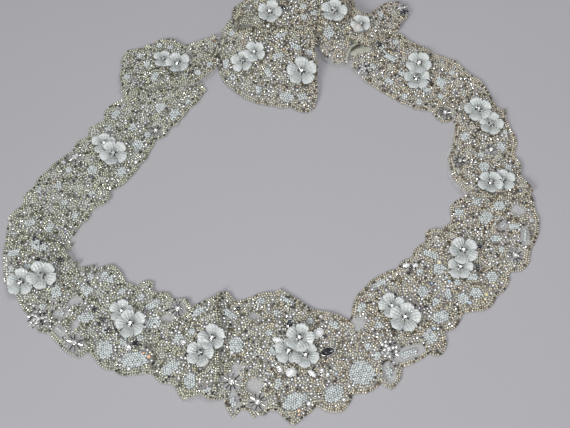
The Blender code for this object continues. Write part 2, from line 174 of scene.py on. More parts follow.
# The band's scalloped outline, as pixels (u, v, u, v and so on) from one end of its stretches to the
# other. An edge is set out to this line where the line comes within OUTLINE_REACH of the plain edge
OUTLINE_REACH = 13.0
OUTLINE_HEIGHT = 1.0 * MM
Outline = namedtuple("Outline", "stretches side points")
OUTLINES = (
    Outline(("left_corner", "front_left", "front_centre", "front_right"), "outer", (
        8, 225, 7, 240, 5, 250, 4, 262, 4, 275, 4, 282, 10, 288, 15, 295, 19, 300, 20, 306, 24, 311,
        29, 316, 30, 322, 34, 328, 39, 332, 45, 333, 50, 335, 54, 340, 59, 345, 63, 350, 68, 354, 75, 356,
        80, 358, 86, 353, 89, 352, 93, 357, 98, 364, 103, 369, 108, 370, 113, 370, 118, 374, 125, 376.5,
        132, 375.5, 140, 374.5, 148, 373.5, 152, 374, 156, 379, 161, 383, 168, 384, 174, 385, 177, 390,
        179, 396, 184, 400, 190, 399.5, 195, 397, 199, 395, 204, 398, 211, 400, 219, 400.5, 223, 399,
        225, 404, 227, 411, 230, 415, 233, 418, 237, 415, 240, 410, 246, 410, 250, 411, 251, 415,
        254, 418, 258, 416, 260, 413, 263, 416, 266, 415, 267, 411, 273, 411, 278, 411, 281, 415,
        286, 420, 291, 424, 294.5, 426, 299, 422, 305, 417, 311, 413, 316, 406, 320, 408, 326, 411.5,
        334, 413, 342, 412, 348, 407, 351, 402, 353, 394, 358, 393.5, 366, 393.5, 373, 391, 378, 387,
        381, 384, 386, 387, 393, 390, 396, 386, 401, 380, 401, 373, 403, 367, 408, 366, 415, 363,
        422, 359, 427, 356, 429, 354, 435, 356, 441, 355.5, 445, 351, 447, 345, 446, 338, 443, 332,
        450, 331, 456, 328, 460, 322, 461, 317, 462, 314, 468, 312.5, 476, 311.5, 484, 311, 490, 308,
        495, 302, 496, 297, 503, 293, 507, 288, 510, 281, 509, 273, 514, 272, 520, 272, 525, 269,
        529, 264, 530, 257, 531, 250, 535, 243, 538, 235, 539, 225, 539, 219, 536, 213, 534, 204,
    )),
    Outline(("left_corner", "front_left", "front_centre", "front_right"), "inner", (
        52, 232, 60, 245, 65, 252, 71, 258, 74, 263, 76, 269, 80, 263, 86, 261, 92, 262, 96, 266, 98, 270,
        101, 268, 106, 266, 112, 265, 118, 268, 122, 273, 124, 278, 127, 283, 132, 284, 136, 287,
        141, 282, 146, 280.5, 151, 281, 154, 284, 153, 290, 156, 293, 162, 292, 168, 293, 172, 298,
        176, 299, 184, 298, 189, 300, 191, 307, 196, 305, 203, 303, 210, 300, 216, 297, 220, 293,
        225, 291.5, 230, 293, 233, 298, 236, 301, 242, 300, 249, 298, 256, 295, 263, 293, 270, 292,
        274, 292.5, 280, 289, 285, 292, 290, 295, 296, 298, 302, 302, 308, 306, 314, 309.5, 322, 311,
        330, 312.5, 338, 315, 345, 318, 350, 320, 352, 310, 353, 302, 356, 296, 361, 291, 366, 286,
        370, 281, 376, 277, 382, 274, 388, 271, 394, 270, 398, 268, 400, 262, 403, 260.5, 409, 259,
        413, 255, 413, 251, 417, 247, 423, 243.5, 427, 240, 425, 238, 426, 232, 430, 229.5, 436, 229,
        441, 229.5, 446, 225, 450, 223, 451, 219, 450, 213, 450, 206, 454, 202, 458, 199.5, 466, 197,
    )),
    Outline(("left_back_arm",), "outer", (
        6, 236, 7, 228, 9, 222, 10, 216, 15, 210, 20, 207, 24, 203, 23, 197, 26, 193, 31, 190, 35, 186,
        36, 181, 41, 176, 47, 171, 51, 166, 57, 161, 63, 157, 69, 153, 74, 149, 76, 143, 80, 140, 86, 138,
        89, 137, 88, 131, 91, 127, 97, 124, 103, 121, 104, 119, 104, 112, 108, 107, 114, 104, 119, 101,
        126, 98,
    )),
    Outline(("left_back_arm",), "inner", (
        207, 92, 203, 97, 199, 103, 194, 107, 190, 110, 188, 114, 186, 117, 181, 121, 179, 126, 172, 128,
        170, 131, 168, 136, 163, 139, 157, 141, 155, 146, 152, 151, 149, 157, 147, 161, 141, 166,
        139, 170, 136, 173, 132, 178, 127, 183, 121, 188, 116, 190, 111, 191, 112, 198, 109, 203,
        101, 207, 95, 210, 92, 212, 91, 218, 88, 222, 83, 225, 80, 229, 77, 233, 75, 239, 66, 241,
    )),
    Outline(("right_back_arm", "right_side"), "outer", (
        403.7, 36.7, 411.6, 41.5, 419, 46, 425, 47.8, 430, 51, 433, 54, 441, 56, 449, 59, 456, 61,
        460, 65, 464, 69, 470, 74, 477, 78.5, 482, 82, 486, 88, 490, 94, 493, 100, 496, 106, 500, 110,
        506, 110, 506, 119, 509, 125, 512, 131, 516, 137, 517, 143, 516, 150, 514, 156, 518, 160,
        521, 166, 521, 172, 520, 178, 525, 181, 530, 187, 533, 193, 533, 201,
    )),
    Outline(("right_back_arm", "right_side"), "inner", (
        355.8, 74, 359.8, 78, 371, 87, 385, 95, 400, 104, 410, 108, 418, 111, 425, 112, 430, 112,
        432, 115, 436, 120, 441, 123.5, 447, 123.5, 450, 121.5, 452, 126, 451, 133, 450, 138, 449, 146,
        447, 152, 444, 158, 446, 164, 447, 170, 449, 178, 452, 184, 457, 190, 462, 195, 467, 198.5,
    )),
    Outline(("tail_strip",), "outer", (
        121, 60, 122, 54, 128, 51, 134, 50.5, 141, 49, 147, 46, 153, 45, 157, 42, 161, 40, 168, 39,
        174, 40, 179, 44, 183, 46.5, 189, 46, 195, 44, 202, 42, 209, 39, 214, 37, 219, 34,
    )),
    Outline(("pointed_tip",), "outer", (
        350, 14, 358, 16, 364, 18, 370, 18, 373, 15, 378, 10, 383, 6.5, 388, 4.5, 394, 3.5, 402, 2,
    )),
    Outline(("pointed_tip",), "inner", (
        345, 50, 362, 50.5, 372, 47, 384, 39, 392, 35, 398, 33, 400, 26, 405, 21, 411, 17, 416, 12,
    )),
    Outline(("tail_strip",), "inner", (
        127, 99, 135, 99.5, 143, 99, 149, 97, 152, 93, 157, 91, 165, 90, 175, 89, 185, 88.5, 192, 88,
        196, 87, 203, 83, 209, 78.5, 214, 74.5, 219, 68,
    )),
    Outline(("front_lobe",), "inner", (
        211, 42, 217, 37, 222, 33, 227, 30, 233, 27, 242, 22, 252, 22, 262, 20, 276, 22, 286, 20.5,
        298, 24, 308, 32, 316, 46,
    )),
    Outline(("front_lobe",), "outer", (
        215, 57, 218.5, 70, 223, 81, 229, 87, 237, 93, 246.5, 99, 256, 103, 265.6, 105, 272.8, 106,
        280.8, 108, 291, 107, 296.7, 110.5, 305.5, 113, 315, 109.5, 318, 103, 315, 95, 313, 86,
    )),
)

# A crease across or along a stretch: where it runs in rungs and places, how far it leans, its
# half-width in rungs, its height in millimetres and the places between which it lies
Crease = namedtuple("Crease", "at lean width height low high")


def creases(*rows):
    return [Crease(*row) for row in rows]


CREASES = {
    "left_back_arm": creases(
        (1.4, 0.3, 0.5, 1.0, -1.1, 0.3), (3.3, -0.4, 0.6, 1.2, -0.2, 1.1),
        (5.4, 0.3, 0.7, 0.9, -1.1, 0.6), (7.2, -0.2, 0.5, 1.1, -0.4, 1.1),
    ),
    "left_corner": creases((1.2, 0.2, 0.6, 0.8, -1.1, 0.5), (3.6, 0.5, 0.6, 1.2, -0.6, 1.1)),
    "front_left": creases(
        (1.3, 0.2, 0.6, 0.9, -1.1, 0.4), (3.1, -0.3, 0.5, 1.1, -0.5, 1.1),
        (5.0, 0.2, 0.5, 0.8, -1.1, 0.2),
    ),
    "front_centre": creases(
        (1.6, 0.3, 0.6, 1.0, -0.3, 1.1), (3.2, -0.4, 0.7, 0.8, -1.1, 0.2),
        (4.9, 0.3, 0.5, 1.2, -0.7, 1.1),
    ),
    "front_right": creases(
        (1.3, 0.2, 0.5, 1.0, -0.6, 1.1), (3.4, -0.3, 0.6, 1.1, -1.1, 0.5),
        (5.6, 0.3, 0.5, 0.9, -0.3, 1.1), (7.6, -0.3, 0.6, 1.4, -1.1, 0.4),
    ),
    "right_side": creases((1.2, 0.2, 0.5, 0.9, -1.1, 0.4), (3.2, -0.4, 0.5, 1.3, -0.6, 1.1)),
    "right_back_arm": creases((1.3, 0.3, 0.5, 1.3, -0.2, 1.1), (3.7, -0.3, 0.6, 1.0, -1.1, 0.6)),
    "tail_strip": creases((1.4, 0.2, 0.5, 1.1, -0.5, 1.1), (3.4, -0.3, 0.5, 1.0, -1.1, 0.5)),
    "front_lobe": creases(
        (1.3, 0.2, 0.35, 1.2, -0.5, 1.1), (2.6, -0.3, 0.4, -0.9, -0.2, 1.1),
        (3.7, 0.2, 0.35, 1.1, -0.7, 0.6),
    ),
    "rounded_fold": creases((1.5, 0.2, 0.5, 0.8, -1.1, 0.3), (2.4, -0.2, 0.4, -0.8, -0.3, 1.1)),
    "pointed_tip": creases((1.2, 0.3, 0.5, 0.9, -0.4, 1.1)),
}
RIPPLE = 0.32

# The heap's folds, in millimetres: layers of net, each standing in a little from the one below it
Layer = namedtuple("Layer", "inset low high")
HEAP_MIDDLE = (8.0, 198.0)
HEAP_HALF = (56.0, 31.0)
HEAP_LAYERS = (Layer(0.0, 0.0, 2.6), Layer(2.2, 3.2, 5.8), Layer(4.8, 6.4, 9.0), Layer(8.0, 9.6, 12.0))
HEAP_TOP = 13.2
HEAP_PETALS = 9
HEAP_PETAL = 2.4
HEAP_SIDES = 128
HEAP_LIFT = 0.55
HEAP_INSETS = (0, 1.2, 2.4, 4, 6, 9, 13.0)
HEAP_TOP_INSETS = (0, 1.2, 2.4, 4, 6, 8, 10, 12, 14, 16, 18, 20, 22)
Corner = namedtuple("Corner", "turn reach width")
HEAP_CORNERS = (Corner(0.5, 6.0, 0.24), Corner(3.42, 6.5, 0.2))
HEAP_RIM = 0.2

# A stretch's cut before it is laid, which nothing here uses: its width and length, and how it lies
Cut = namedtuple("Cut", "width length held")

# The flowers' size, and the form of their solids, by which they are seated
FLOWER_RADIUS = 12.0 * MM
PETALS = 5
PETAL_BASE = 1.3 * MM
PETAL_CUP = 2.6 * MM
CUP_AT_DIP = 0.4
PETAL_WALL = 1.0 * MM
FOOT = 0.38
SEAT = 0.4 * MM
SEAT_RINGS = (0.0, 0.4, 0.75, 1.0)
SEAT_SIDES = 12
SEAT_REACH = 60.0 * MM
DIP_UNDERSIDE = PETAL_BASE + PETAL_CUP * CUP_AT_DIP - PETAL_WALL

# A petal as it shows: its rows and columns, its half-width and the share of its length where it is
# widest, its lift at the tip, and the height and number of its ridges, in millimetres
PETAL_ROWS = 8
PETAL_COLUMNS = 16
PETAL_HALF = 5.1
PETAL_WIDEST = 0.66
PETAL_ROOT = 1.5
PETAL_LIFT = 2.6
PETAL_RIDGE = 0.42
PETAL_RIDGES = 4
PETAL_THICK = 0.45
# How far out a petal starts, its crown across, its lap over the next one and the curl of its tip, in
# millimetres, and how its turn, droop and length differ from the others'
PETAL_START = 0.13
PETAL_CROWN = 0.9
PETAL_LAP = 0.45
PETAL_CURL = 0.7
PETAL_TURN = 0.07
PETAL_DROOP = 0.7
PETAL_STRETCH = 0.05
HEART = 2.5
HEART_LIFT = 2.5

Flower = namedtuple("Flower", "x y turn size lift", defaults=(0.0,))


def flower_group(*rows):
    return [Flower(*row) for row in rows]


FLOWERS = {
    "flowers_left_corner": flower_group((-213, -63, 20, 1.0), (-196, -58, 50, 1.05, 1.5)),
    "flowers_front_left": flower_group((-130, -88, 10, 0.85), (-122, -99, 35, 1.05, 1.7)),
    "flowers_front_inner": flower_group((-66, -124, 0, 1.0), (-57, -112, 25, 0.95, 1.6)),
    "flowers_centre": flower_group(
        (3, -121, 15, 0.95), (16, -125, 50, 0.95, 1.0), (11, -111, 0, 1.0, 2.2),
    ),
    "flowers_front_right": flower_group((85, -84, 30, 0.95), (95, -94, 5, 1.1, 1.7)),
    "flowers_right_corner": flower_group((142, -50, 12, 0.9), (145, -36, 40, 1.05, 1.6)),
    "flowers_side_low": flower_group((183, 28, 20, 0.9), (172, 25, 55, 0.95, 1.5)),
    "flowers_side_high": flower_group((178, 84, 0, 0.95), (168, 98, 30, 1.05, 1.6)),
    "flowers_back_right": flower_group((116, 131, 25, 1.0), (119, 146, 55, 1.0, 1.6)),
    "flowers_left_back": flower_group((-155, 65, 18, 0.9), (-146, 54, 45, 1.05, 1.6)),
    "flowers_tail": flower_group((-108, 149, 5, 0.8), (-95, 144, 35, 0.95, 1.5)),
    "flowers_lobe_left": flower_group((-37, 145, 15, 0.9), (-27, 152, 45, 0.85, 1.4)),
    "flower_lobe_right": flower_group((14, 134, 20, 1.15)),
    "flower_heap_top": flower_group((-14, 194, 0, 1.0)),
    "flower_fold": flower_group((44, 192, 10, 1.05)),
    "flower_tip": flower_group((68, 183, 40, 0.8)),
}

# A motif sewn on the net, by its pixel: its length and width in millimetres, and its turn in
# the picture, in degrees counter-clockwise. white is a core of white beads in rows of clear
# ones, oval is a bead outline over bare net with a white core, and net is bare net
Motif = namedtuple("Motif", "kind u v length width turn")


def entries(make, *runs):
    """Runs of entries of one kind each, as one list."""
    return [make(kind, *row) for kind, *rows in runs for row in rows]


MOTIFS = entries(
    Motif,
    (
        "white", (39, 246, 17, 8, -20), (90, 293, 18, 8, -32), (110, 278, 14, 5, 100),
        (86, 318, 16, 7, 5), (105, 350, 17, 12, 95), (135, 360, 23, 13, 8), (153, 305, 13, 5, 35),
        (153, 323, 12, 9, 10), (171, 368, 17, 9, 35), (179, 340, 10, 7, 0), (57, 292, 11, 7, 70),
    ),
    ("oval", (61, 314, 14, 9, 10), (59, 330, 15, 8, -50)),
    ("net", (75, 301, 13, 7, 20)),
    ("white", (14, 253, 11, 6, 10), (30, 223, 10, 6, 10), (50, 228, 9, 6, 60)),
    ("net", (75, 325, 9, 6, 40), (168, 318, 11, 7, 0)),
    (
        "white", (230, 315, 13, 6, -35), (219, 305, 8, 5, -30), (236, 345, 12, 12, 0),
        (295, 401, 21, 11, 25), (334, 394, 18, 12, 40), (362, 373, 22, 19, 10), (368, 347, 7, 4, 10),
        (379, 325, 7, 6, 0), (361, 308, 8, 6, 40), (288, 298, 12, 8, -30), (378, 284, 14, 6, 20),
    ),
    ("oval", (389, 372, 17, 10, 100), (209, 391, 17, 9, 0), (233, 404, 19, 10, 85)),
    ("white", (190, 381, 12, 10, 90), (199, 312, 12, 4, 30)),
    ("net", (354, 326, 20, 11, 20), (254, 386, 13, 12, 0), (253, 317, 10, 5, 0), (236, 368, 9, 6, 0)),
    (
        "white", (459, 213, 8, 7, 0), (486, 218, 13, 9, 50), (499, 206, 10, 8, -60),
        (431, 255, 15, 6, -22), (439, 269, 11, 8, 20), (423, 292, 8, 8, 0), (496, 239, 12, 5, 0),
        (492, 277, 10, 9, 0), (476, 293, 10, 10, 0), (463, 299, 10, 8, 20), (441, 317, 15, 8, 20),
        (430, 337, 13, 9, -50),
    ),
    ("oval", (409, 354, 28, 13, 20), (525, 236, 19, 8, 85)),
    ("white", (514, 227, 10, 6, 10)),
    ("oval", (503, 226, 11, 7, 40)),
    ("net", (518, 211, 12, 10, 0)),
    (
        "white", (465, 137, 9, 7, 60), (501, 147, 9, 7, -60), (484, 167, 12, 7, 0), (508, 168, 8, 6, 80),
        (390, 58, 13, 6, -25), (389, 82, 11, 6, -35), (441, 83, 12, 9, -70), (278, 56, 9, 6, 10),
        (268, 73, 10, 6, -60), (281, 35, 11, 6, 20),
    ),
    ("oval", (243, 6, 12, 8, -15)),
    (
        "white", (329, 33, 12, 7, 70), (287, 97, 13, 7, -10), (302, 97, 9, 6, 10), (155, 77, 9, 6, 60),
        (116, 115, 9, 5, 50), (160, 108, 12, 7, 60), (175, 115, 12, 8, 60), (133, 128, 9, 6, 50),
        (138, 145, 10, 8, 50), (93, 171, 10, 7, 40), (122, 172, 10, 7, 60),
    ),
)

# A stone, pearl or burst, by its pixel: its length in millimetres, its width where it differs, and
# its turn
Stone = namedtuple("Stone", "kind u v length width turn")


def stone_of(kind, u, v, length, width=None, turn=0):
    return Stone(kind, u, v, length, width or length, turn)


STONES = entries(
    stone_of,
    ("burst", (178, 309, 14), (75, 343, 15, 15, 10)),
    ("cluster", (38.5, 319, 15)),
    ("burst", (232, 382, 16, 16, 5), (258, 402, 15, 15, 20)),
    ("cluster", (389, 349, 15)),
    ("burst", (515, 256, 14), (460, 161, 12), (491, 150, 12, 12, 20), (445, 113, 12)),
    ("cluster", (365, 69, 13), (401, 8, 9)),
    (
        "dark", (402.5, 14, 4, 2.6, -50), (406, 12.5, 4, 2.6, -50), (283, 8, 4, 2.6, -30),
        (288, 11, 3.4, 2.4, 10), (379, 45, 6, 4),
    ),
    ("round", (350, 33, 3.4)),
    ("burst", (156, 131, 12), (75, 158, 12, 12, 30)),
    ("cluster", (135, 83, 8)),
    ("round", (83, 275, 5)),
    ("ring", (184, 343, 5), (129, 348, 6)),
    ("round", (531, 221, 5)),
    ("dark", (290, 324, 8, 5, 60)),
    ("clear", (278, 341, 9, 5, -20), (318, 334, 10, 7, 40)),
    ("dark", (328, 352, 12, 6.5, 10)),
    ("clear", (291, 373, 8.5, 7, 35), (312, 374, 8, 4, -45)),
    ("round", (280, 370, 5), (322, 371, 4.5), (328, 375, 4)),
    (
        "dark", (39, 261, 7, 4, 40), (61, 260, 5, 3, -20), (35, 239, 3.5, 2.5), (42, 243, 3.5, 2.5),
        (95, 310, 5, 3, -20), (104, 320, 5, 3, -30), (108, 331, 4, 3), (136, 344, 7, 3.5, 20),
        (480, 247, 5, 3.5, 30), (477, 267, 6, 3.5),
    ),
    ("clear", (406, 266, 6, 4), (415, 266, 5, 3.5, 30)),
    # The orange, yellow and blue stones are small stones coloured as the coloured glints that the stones
    # throw back: painted glints
    ("orange", (149, 357, 3.6), (144, 353, 2.4)),
    ("yellow", (259, 352, 2.8)),
    ("orange", (299, 411, 3.2), (299, 415, 2.2)),
    ("yellow", (350, 351, 2.2)),
    ("blue", (449, 282, 3.4), (446, 278, 2.6)),
    ("yellow", (439, 263, 4.0)),
    ("blue", (469.5, 303.5, 3.4)),
    ("yellow", (486, 295, 3.8), (485, 300, 2.6)),
    ("blue", (434, 329, 3.2), (271, 15, 3.4)),
    ("orange", (243, 43, 2.8)),
    ("pearl", (357, 30.5, 8.6)),
    # This orange stone is the large pearl's painted highlight
    ("orange", (362, 27, 2.4)),
    ("blue", (336, 374, 2.6)),
    (
        "round", (344, 400, 3.2), (309, 404, 4.4), (232, 353, 3.6), (279, 368, 4.4), (77, 156, 4.4),
        (64, 163, 4.4), (136, 163, 4.0), (120, 360, 3.4), (158, 318, 3.4), (155, 327, 3.2),
        (129, 369, 3.4), (243, 26, 3.4), (268, 27, 4.0),
    ),
    (
        "pearl", (10, 219, 3.2), (11, 225, 3.2), (7, 265, 3.4), (52, 264, 3.4), (203, 320, 3.0),
        (214, 315, 3.0), (321, 317, 3.2), (277, 326, 3.2), (464, 102, 3.0), (459, 110, 3.0),
        (506, 137, 3.0), (510, 175, 3.0), (239, 71, 3.0), (252, 78, 3.0), (266, 63, 3.0), (118, 125, 3.0),
        (124, 159, 3.0), (420, 328, 3.0),
    ),
)

# Where each material of the stones and hems, and of the flowers, is in the lists of them
CRYSTAL, SMOKY, SILVER, PEARL, BUGLE, DARK_BUGLE, TINTED, ORANGE, YELLOW, BLUE, FACET = range(11)
HEM_ROLL = 11
HEM_SHADE = 12
TIP, HEART_CRYSTAL, HEART_SILVER, HEART_DARK, MIDDLE, ROOT = range(6)
PETAL_SLOTS = (TIP, MIDDLE, ROOT)
PETAL_BANDS = (ROOT, ROOT, ROOT, MIDDLE, MIDDLE, TIP, TIP, TIP)
# The heart's clear stone takes dark facets among its clear and silver ones: painted dark reflections
HEART_FACETS = (HEART_CRYSTAL, HEART_DARK, HEART_SILVER, HEART_DARK, HEART_CRYSTAL)

# The net's curled edge where the right back arm starts, as pixels: its half-width and half-height, its
# lift off the net and the height it starts from, in millimetres, and its material
Hem = namedtuple("Hem", "stretch points half high lift z slot")
HEM_SIDES = 10
HEM_STEPS = 2
HEM_TIP = 0.55
HEMS = (
    Hem("right_back_arm", (
        (371, 43.5), (367, 42), (363, 41.8), (359, 42.6), (355, 44.6), (351.5, 47.3), (349, 51),
        (347.5, 55), (346.8, 59), (347, 63), (348.5, 66),
    ), 1.05, 1.0, 1.1, 5.5, HEM_ROLL),
    # A dark cord of painted shade for the inside of the curl
    Hem("right_back_arm", ((351, 51), (354, 48.8), (357, 47), (360, 45.6), (363, 44.8)),
        1.15, 0.4, 1.2, 5.3, HEM_SHADE),
    Hem("right_back_arm", ((351, 55), (355, 52.5), (359, 50.4), (364, 48.6), (369, 48), (374, 49)),
        2.5, 0.4, 0.4, 5.0, HEM_ROLL),
    Hem("right_back_arm", ((346, 37.5), (350, 38.6), (354, 40.4), (359, 43.4)),
        3.4, 0.4, 0.2, 3.6, HEM_ROLL),
)

# Beads, in millimetres: their radius, half-length and pitch, the rows along the edges, the small dark
# discs painted as the shade in the holes and gaps between the beads of a row, the white beads, and the
# gaps between the cells of the pattern
BEAD = 0.98
BEAD_LENGTH = 0.78
BEAD_PITCH = 1.9
ROW_PITCH = 1.96
ROW_GAP = 1.82
ROW_SIZE = 0.93
EDGE_ROWS = 2
EDGE_INSET = 0.85
# The discs between beads are painted shade: darker or paler, they stand in for the shade in the beads'
# holes and the gaps between beads
GAP_SHADE = 0.8
GAP_SHADE_LENGTH = 0.26
GAP_SHADE_HEIGHT = 0.95
DARK_GAP_SHADES = 0.55
BEAD_STEP = 1.6
WHITE_BEAD = 1.1
WHITE_PITCH = 1.94
BORDER_GAP = 0.42
BORDER_WIDTH = 3.0
CORE_PITCH = 1.88
MAX_RINGS = 9
FIRST_RING = 0.9
RING_SHAKE = 0.05
FLOWER_CLEAR = 0.74
# How much of a bead's room has to be free, among the rest and in a core, and how high its middle
# stands, as a share of its radius
EASE = 0.93
CORE_EASE = 0.76
BEAD_SEAT = 0.86
# How much beads' sizes and places vary
BEAD_SIZES = (0.93, 1.04)
CORE_SIZES = (0.92, 1.04)
CORE_ENDS = (0.82, 1.08)
CORE_SHAKE = 0.12
CORE_TURN = 0.4
CORE_ROW = 0.9
FILL_SHAKE = 0.5
# How far inside the rims beads stand: those of rows and rings, of cores, and single ones
ROW_MARGIN = EDGE_INSET - 0.3
CORE_MARGIN = 0.4
FILL_MARGIN = 0.6


def curve_value(values, step, part):
    """A Catmull-Rom curve through values, a share part of the way from one step to the next."""
    last = len(values) - 1
    before = values[max(step - 1, 0)]
    start = values[step]
    end = values[min(step + 1, last)]
    after = values[min(step + 2, last)]
    lean_in = (end - before) / 2
    lean_out = (after - start) / 2
    square = part * part
    cube = square * part
    return (
        (2 * cube - 3 * square + 1) * start
        + (cube - 2 * square + part) * lean_in
        + (3 * square - 2 * cube) * end
        + (cube - square) * lean_out
    )


def eased(values, step, part):
    share = part * part * (3 - 2 * part)
    return values[step] + (values[min(step + 1, len(values) - 1)] - values[step]) * share


def stations(rungs, pitch):
    found = []
    for number, (one, two) in enumerate(zip(rungs, rungs[1:])):
        outer = hypot(two.outer_x - one.outer_x, two.outer_y - one.outer_y)
        inner = hypot(two.inner_x - one.inner_x, two.inner_y - one.inner_y)
        count = max(4, round((outer + inner) / 2 * MM / pitch))
        found += [(number, k / count) for k in range(count)]
    found.append((len(rungs) - 2, 1.0))
    return found


def crease_height(stretch, at, place):
    """How far creases and small ripples lift the net, in millimetres."""
    wave = sin(2.3 * at + 1.7 * place + len(stretch.name)) * cos(1.9 * place - 0.8 * at)
    lift = RIPPLE * (1 + wave)
    for crease in CREASES[stretch.name]:
        along = (at - crease.at - crease.lean * place) / crease.width
        if abs(along) >= 1:
            continue
        middle = (crease.low + crease.high) / 2
        half = (crease.high - crease.low) / 2
        across = abs(place - middle) / half
        if across >= 1:
            continue
        lift += crease.height * (0.5 + 0.5 * cos(pi * along)) * (1 - across ** 2) ** 0.5
    return lift


def plan_of(u, v, z):
    """Where a pixel's ray comes down to a height, in the layout's millimetres."""
    start, way = camera_ray(u, v)
    point = start + way * ((z - start.z) / way.z) + LAYOUT_MIDDLE
    return Vector((point.x, point.y)) / MM


plan_lines = {}


def lay_out_outlines():
    for outline in OUTLINES:
        pixels = zip(outline.points[::2], outline.points[1::2])
        line = [plan_of(u, v, OUTLINE_HEIGHT) for u, v in pixels]
        for name in outline.stretches:
            plan_lines[name, outline.side] = line


def outline_reach(name, side, point, way):
    """How far out from a point the drawn outline lies, or None where it isn't near."""
    best = None
    line = plan_lines.get((name, side), ())
    for one, two in zip(line, line[1:]):
        span = two - one
        cross = way.x * span.y - way.y * span.x
        if abs(cross) < 1e-6:
            continue
        gap = one - point
        along = (gap.x * way.y - gap.y * way.x) / cross
        if not 0 <= along <= 1:
            continue
        reach = (gap.x * span.y - gap.y * span.x) / cross
        if abs(reach) < OUTLINE_REACH and (best is None or abs(reach) < abs(best)):
            best = reach
    return best


def edge_reach(stretch, side, point, way, petal):
    """How far out the scalloped edge lies: as listed in the outlines, or else as far as the petal swells.
    """
    reach = outline_reach(stretch.name, side, point, way)
    if reach is None:
        reach = getattr(stretch, f"{side}_petal") * (petal - PETAL_VALLEY)
    return reach


def net_row(stretch, step, part, places):
    """The net's underside across a stretch at one station."""
    columns = list(zip(*stretch.rungs))
    rungs = stretch.rungs
    plan = [curve_value(columns[k], step, part) for k in range(4)]
    heights = [eased(columns[k], step, part) for k in range(4, 7)]
    outer = Vector(plan[:2])
    inner = Vector(plan[2:])
    outward = (outer - inner).normalized()
    petal = sin(pi * part) ** PETAL_SHAPE
    outer_reach = edge_reach(stretch, "outer", outer, outward, petal)
    inner_reach = edge_reach(stretch, "inner", inner, -outward, petal)
    outer += outward * outer_reach
    inner -= outward * inner_reach
    last = len(rungs) - 2
    row = []
    for place in places:
        point = outer.lerp(inner, (place + 1) / 2)
        hump = 1 - place * place
        lobe = END_PETAL * (abs(sin(END_PETALS * pi * (place + 1) / 2)) - 0.5)
        if step == 0 and stretch.start_round:
            point += rung_way(rungs, 0, 1) * ((stretch.start_round * hump + lobe) * (1 - part) ** 2)
        if step == last and stretch.end_round:
            point += rung_way(rungs, -1, -2) * ((stretch.end_round * hump + lobe) * part ** 2)
        z = (
            heights[0] * place * (place - 1) / 2
            + heights[1] * hump
            + heights[2] * place * (place + 1) / 2
        )
        z = max(z, 0.0) + crease_height(stretch, step + part, place)
        z += PETAL_RELIEF * petal * 0.5 * (1 - cos(tau * place)) / 2
        row.append(Vector((point.x, point.y, max(z, 0.0))) * MM - LAYOUT_MIDDLE)
    return row


def rung_way(rungs, one, two):
    """The way from one rung's middle to the other's, turned to point out of the stretch."""
    a, b = rungs[one], rungs[two]
    here = Vector(((a.outer_x + a.inner_x) / 2, (a.outer_y + a.inner_y) / 2))
    there = Vector(((b.outer_x + b.inner_x) / 2, (b.outer_y + b.inner_y) / 2))
    return (here - there).normalized()


def grid_normal(grid, i, j):
    along = grid[min(i + 1, len(grid) - 1)][j] - grid[max(i - 1, 0)][j]
    across = grid[i][min(j + 1, len(grid[0]) - 1)] - grid[i][max(j - 1, 0)]
    normal = along.cross(across).normalized()
    return normal if normal.z > 0 else -normal


def new_mesh(name, points, faces, slots=None, smooth=None):
    mesh = bpy.data.meshes.new(name)
    mesh.from_pydata([tuple(p) for p in points], [], faces)
    if slots is not None:
        mesh.polygons.foreach_set("material_index", np.array(slots, dtype=np.int32))
    if smooth is not None:
        mesh.polygons.foreach_set("use_smooth", np.array(smooth))
    return mesh


def add_object(name, mesh):
    thing = bpy.data.objects.new(name, mesh)
    bpy.context.scene.collection.objects.link(thing)
    return thing


def finer(line):
    """A line's points, with more between them where they stand far apart."""
    for one, two in zip(line, line[1:]):
        count = max(1, math.ceil((two - one).length / RIM_PITCH))
        for k in range(count):
            yield one.lerp(two, k / count)
    yield line[-1]


def fall(tree, x, y):
    """Where a drop straight down meets a tree's faces, and the face's upward normal."""
    hit, normal, _, _ = tree.ray_cast(Vector((x, y, SEAT_REACH)), Vector((0, 0, -1)))
    if hit is None:
        return None, None
    return hit, normal if normal.z > 0 else -normal


class Sheet:
    """One sheet of net: the tree of its upper face, its free edges and rims, and its box."""

    def __init__(self, name, top, faces, edges):
        """Each edge is a line of points with the points inside them, and its rim's width."""
        self.name = name
        self.tree = BVHTree.FromPolygons(top, faces)
        self.rows = edges
        self.rims = [(point, rim) for line, rim in edges for point in finer([p for p, _ in line])]
        self.edge = KDTree(len(self.rims))
        for k, (point, _) in enumerate(self.rims):
            self.edge.insert((point.x, point.y, 0.0), k)
        self.edge.balance()
        self.low = Vector((min(p.x for p in top), min(p.y for p in top)))
        self.high = Vector((max(p.x for p in top), max(p.y for p in top)))

    def drop(self, x, y):
        return fall(self.tree, x, y)

    def edge_room(self, x, y):
        """How far a point stands inside the bare rim, in metres."""
        _, k, away = self.edge.find((x, y, 0.0))
        return away - self.rims[k][1]


def grid_faces(rows, columns):
    faces = []
    for i in range(rows - 1):
        for j in range(columns - 1):
            a = i * columns + j
            faces.append((a, a + 1, a + columns + 1, a + columns))
    return faces


def shell_faces(rows, columns):
    """The faces of a closed shell over a grid, whose underside's points follow its upper ones."""
    count = rows * columns
    faces = grid_faces(rows, columns)
    lower = [tuple(count + k for k in reversed(face)) for face in faces]
    border = list(range(columns))
    border += [(i + 1) * columns - 1 for i in range(1, rows)]
    border += [(rows - 1) * columns + k for k in range(columns - 2, -1, -1)]
    border += [i * columns for i in range(rows - 2, 0, -1)]
    walls = []
    for a, b in zip(border, border[1:] + border[:1]):
        walls.append((b, a, count + a, count + b))
    return faces + lower + walls


def shell_mesh(name, under, over, rows, columns):
    mesh = new_mesh(name, over + under, shell_faces(rows, columns))
    mesh.validate()
    mesh.shade_smooth()
    return mesh


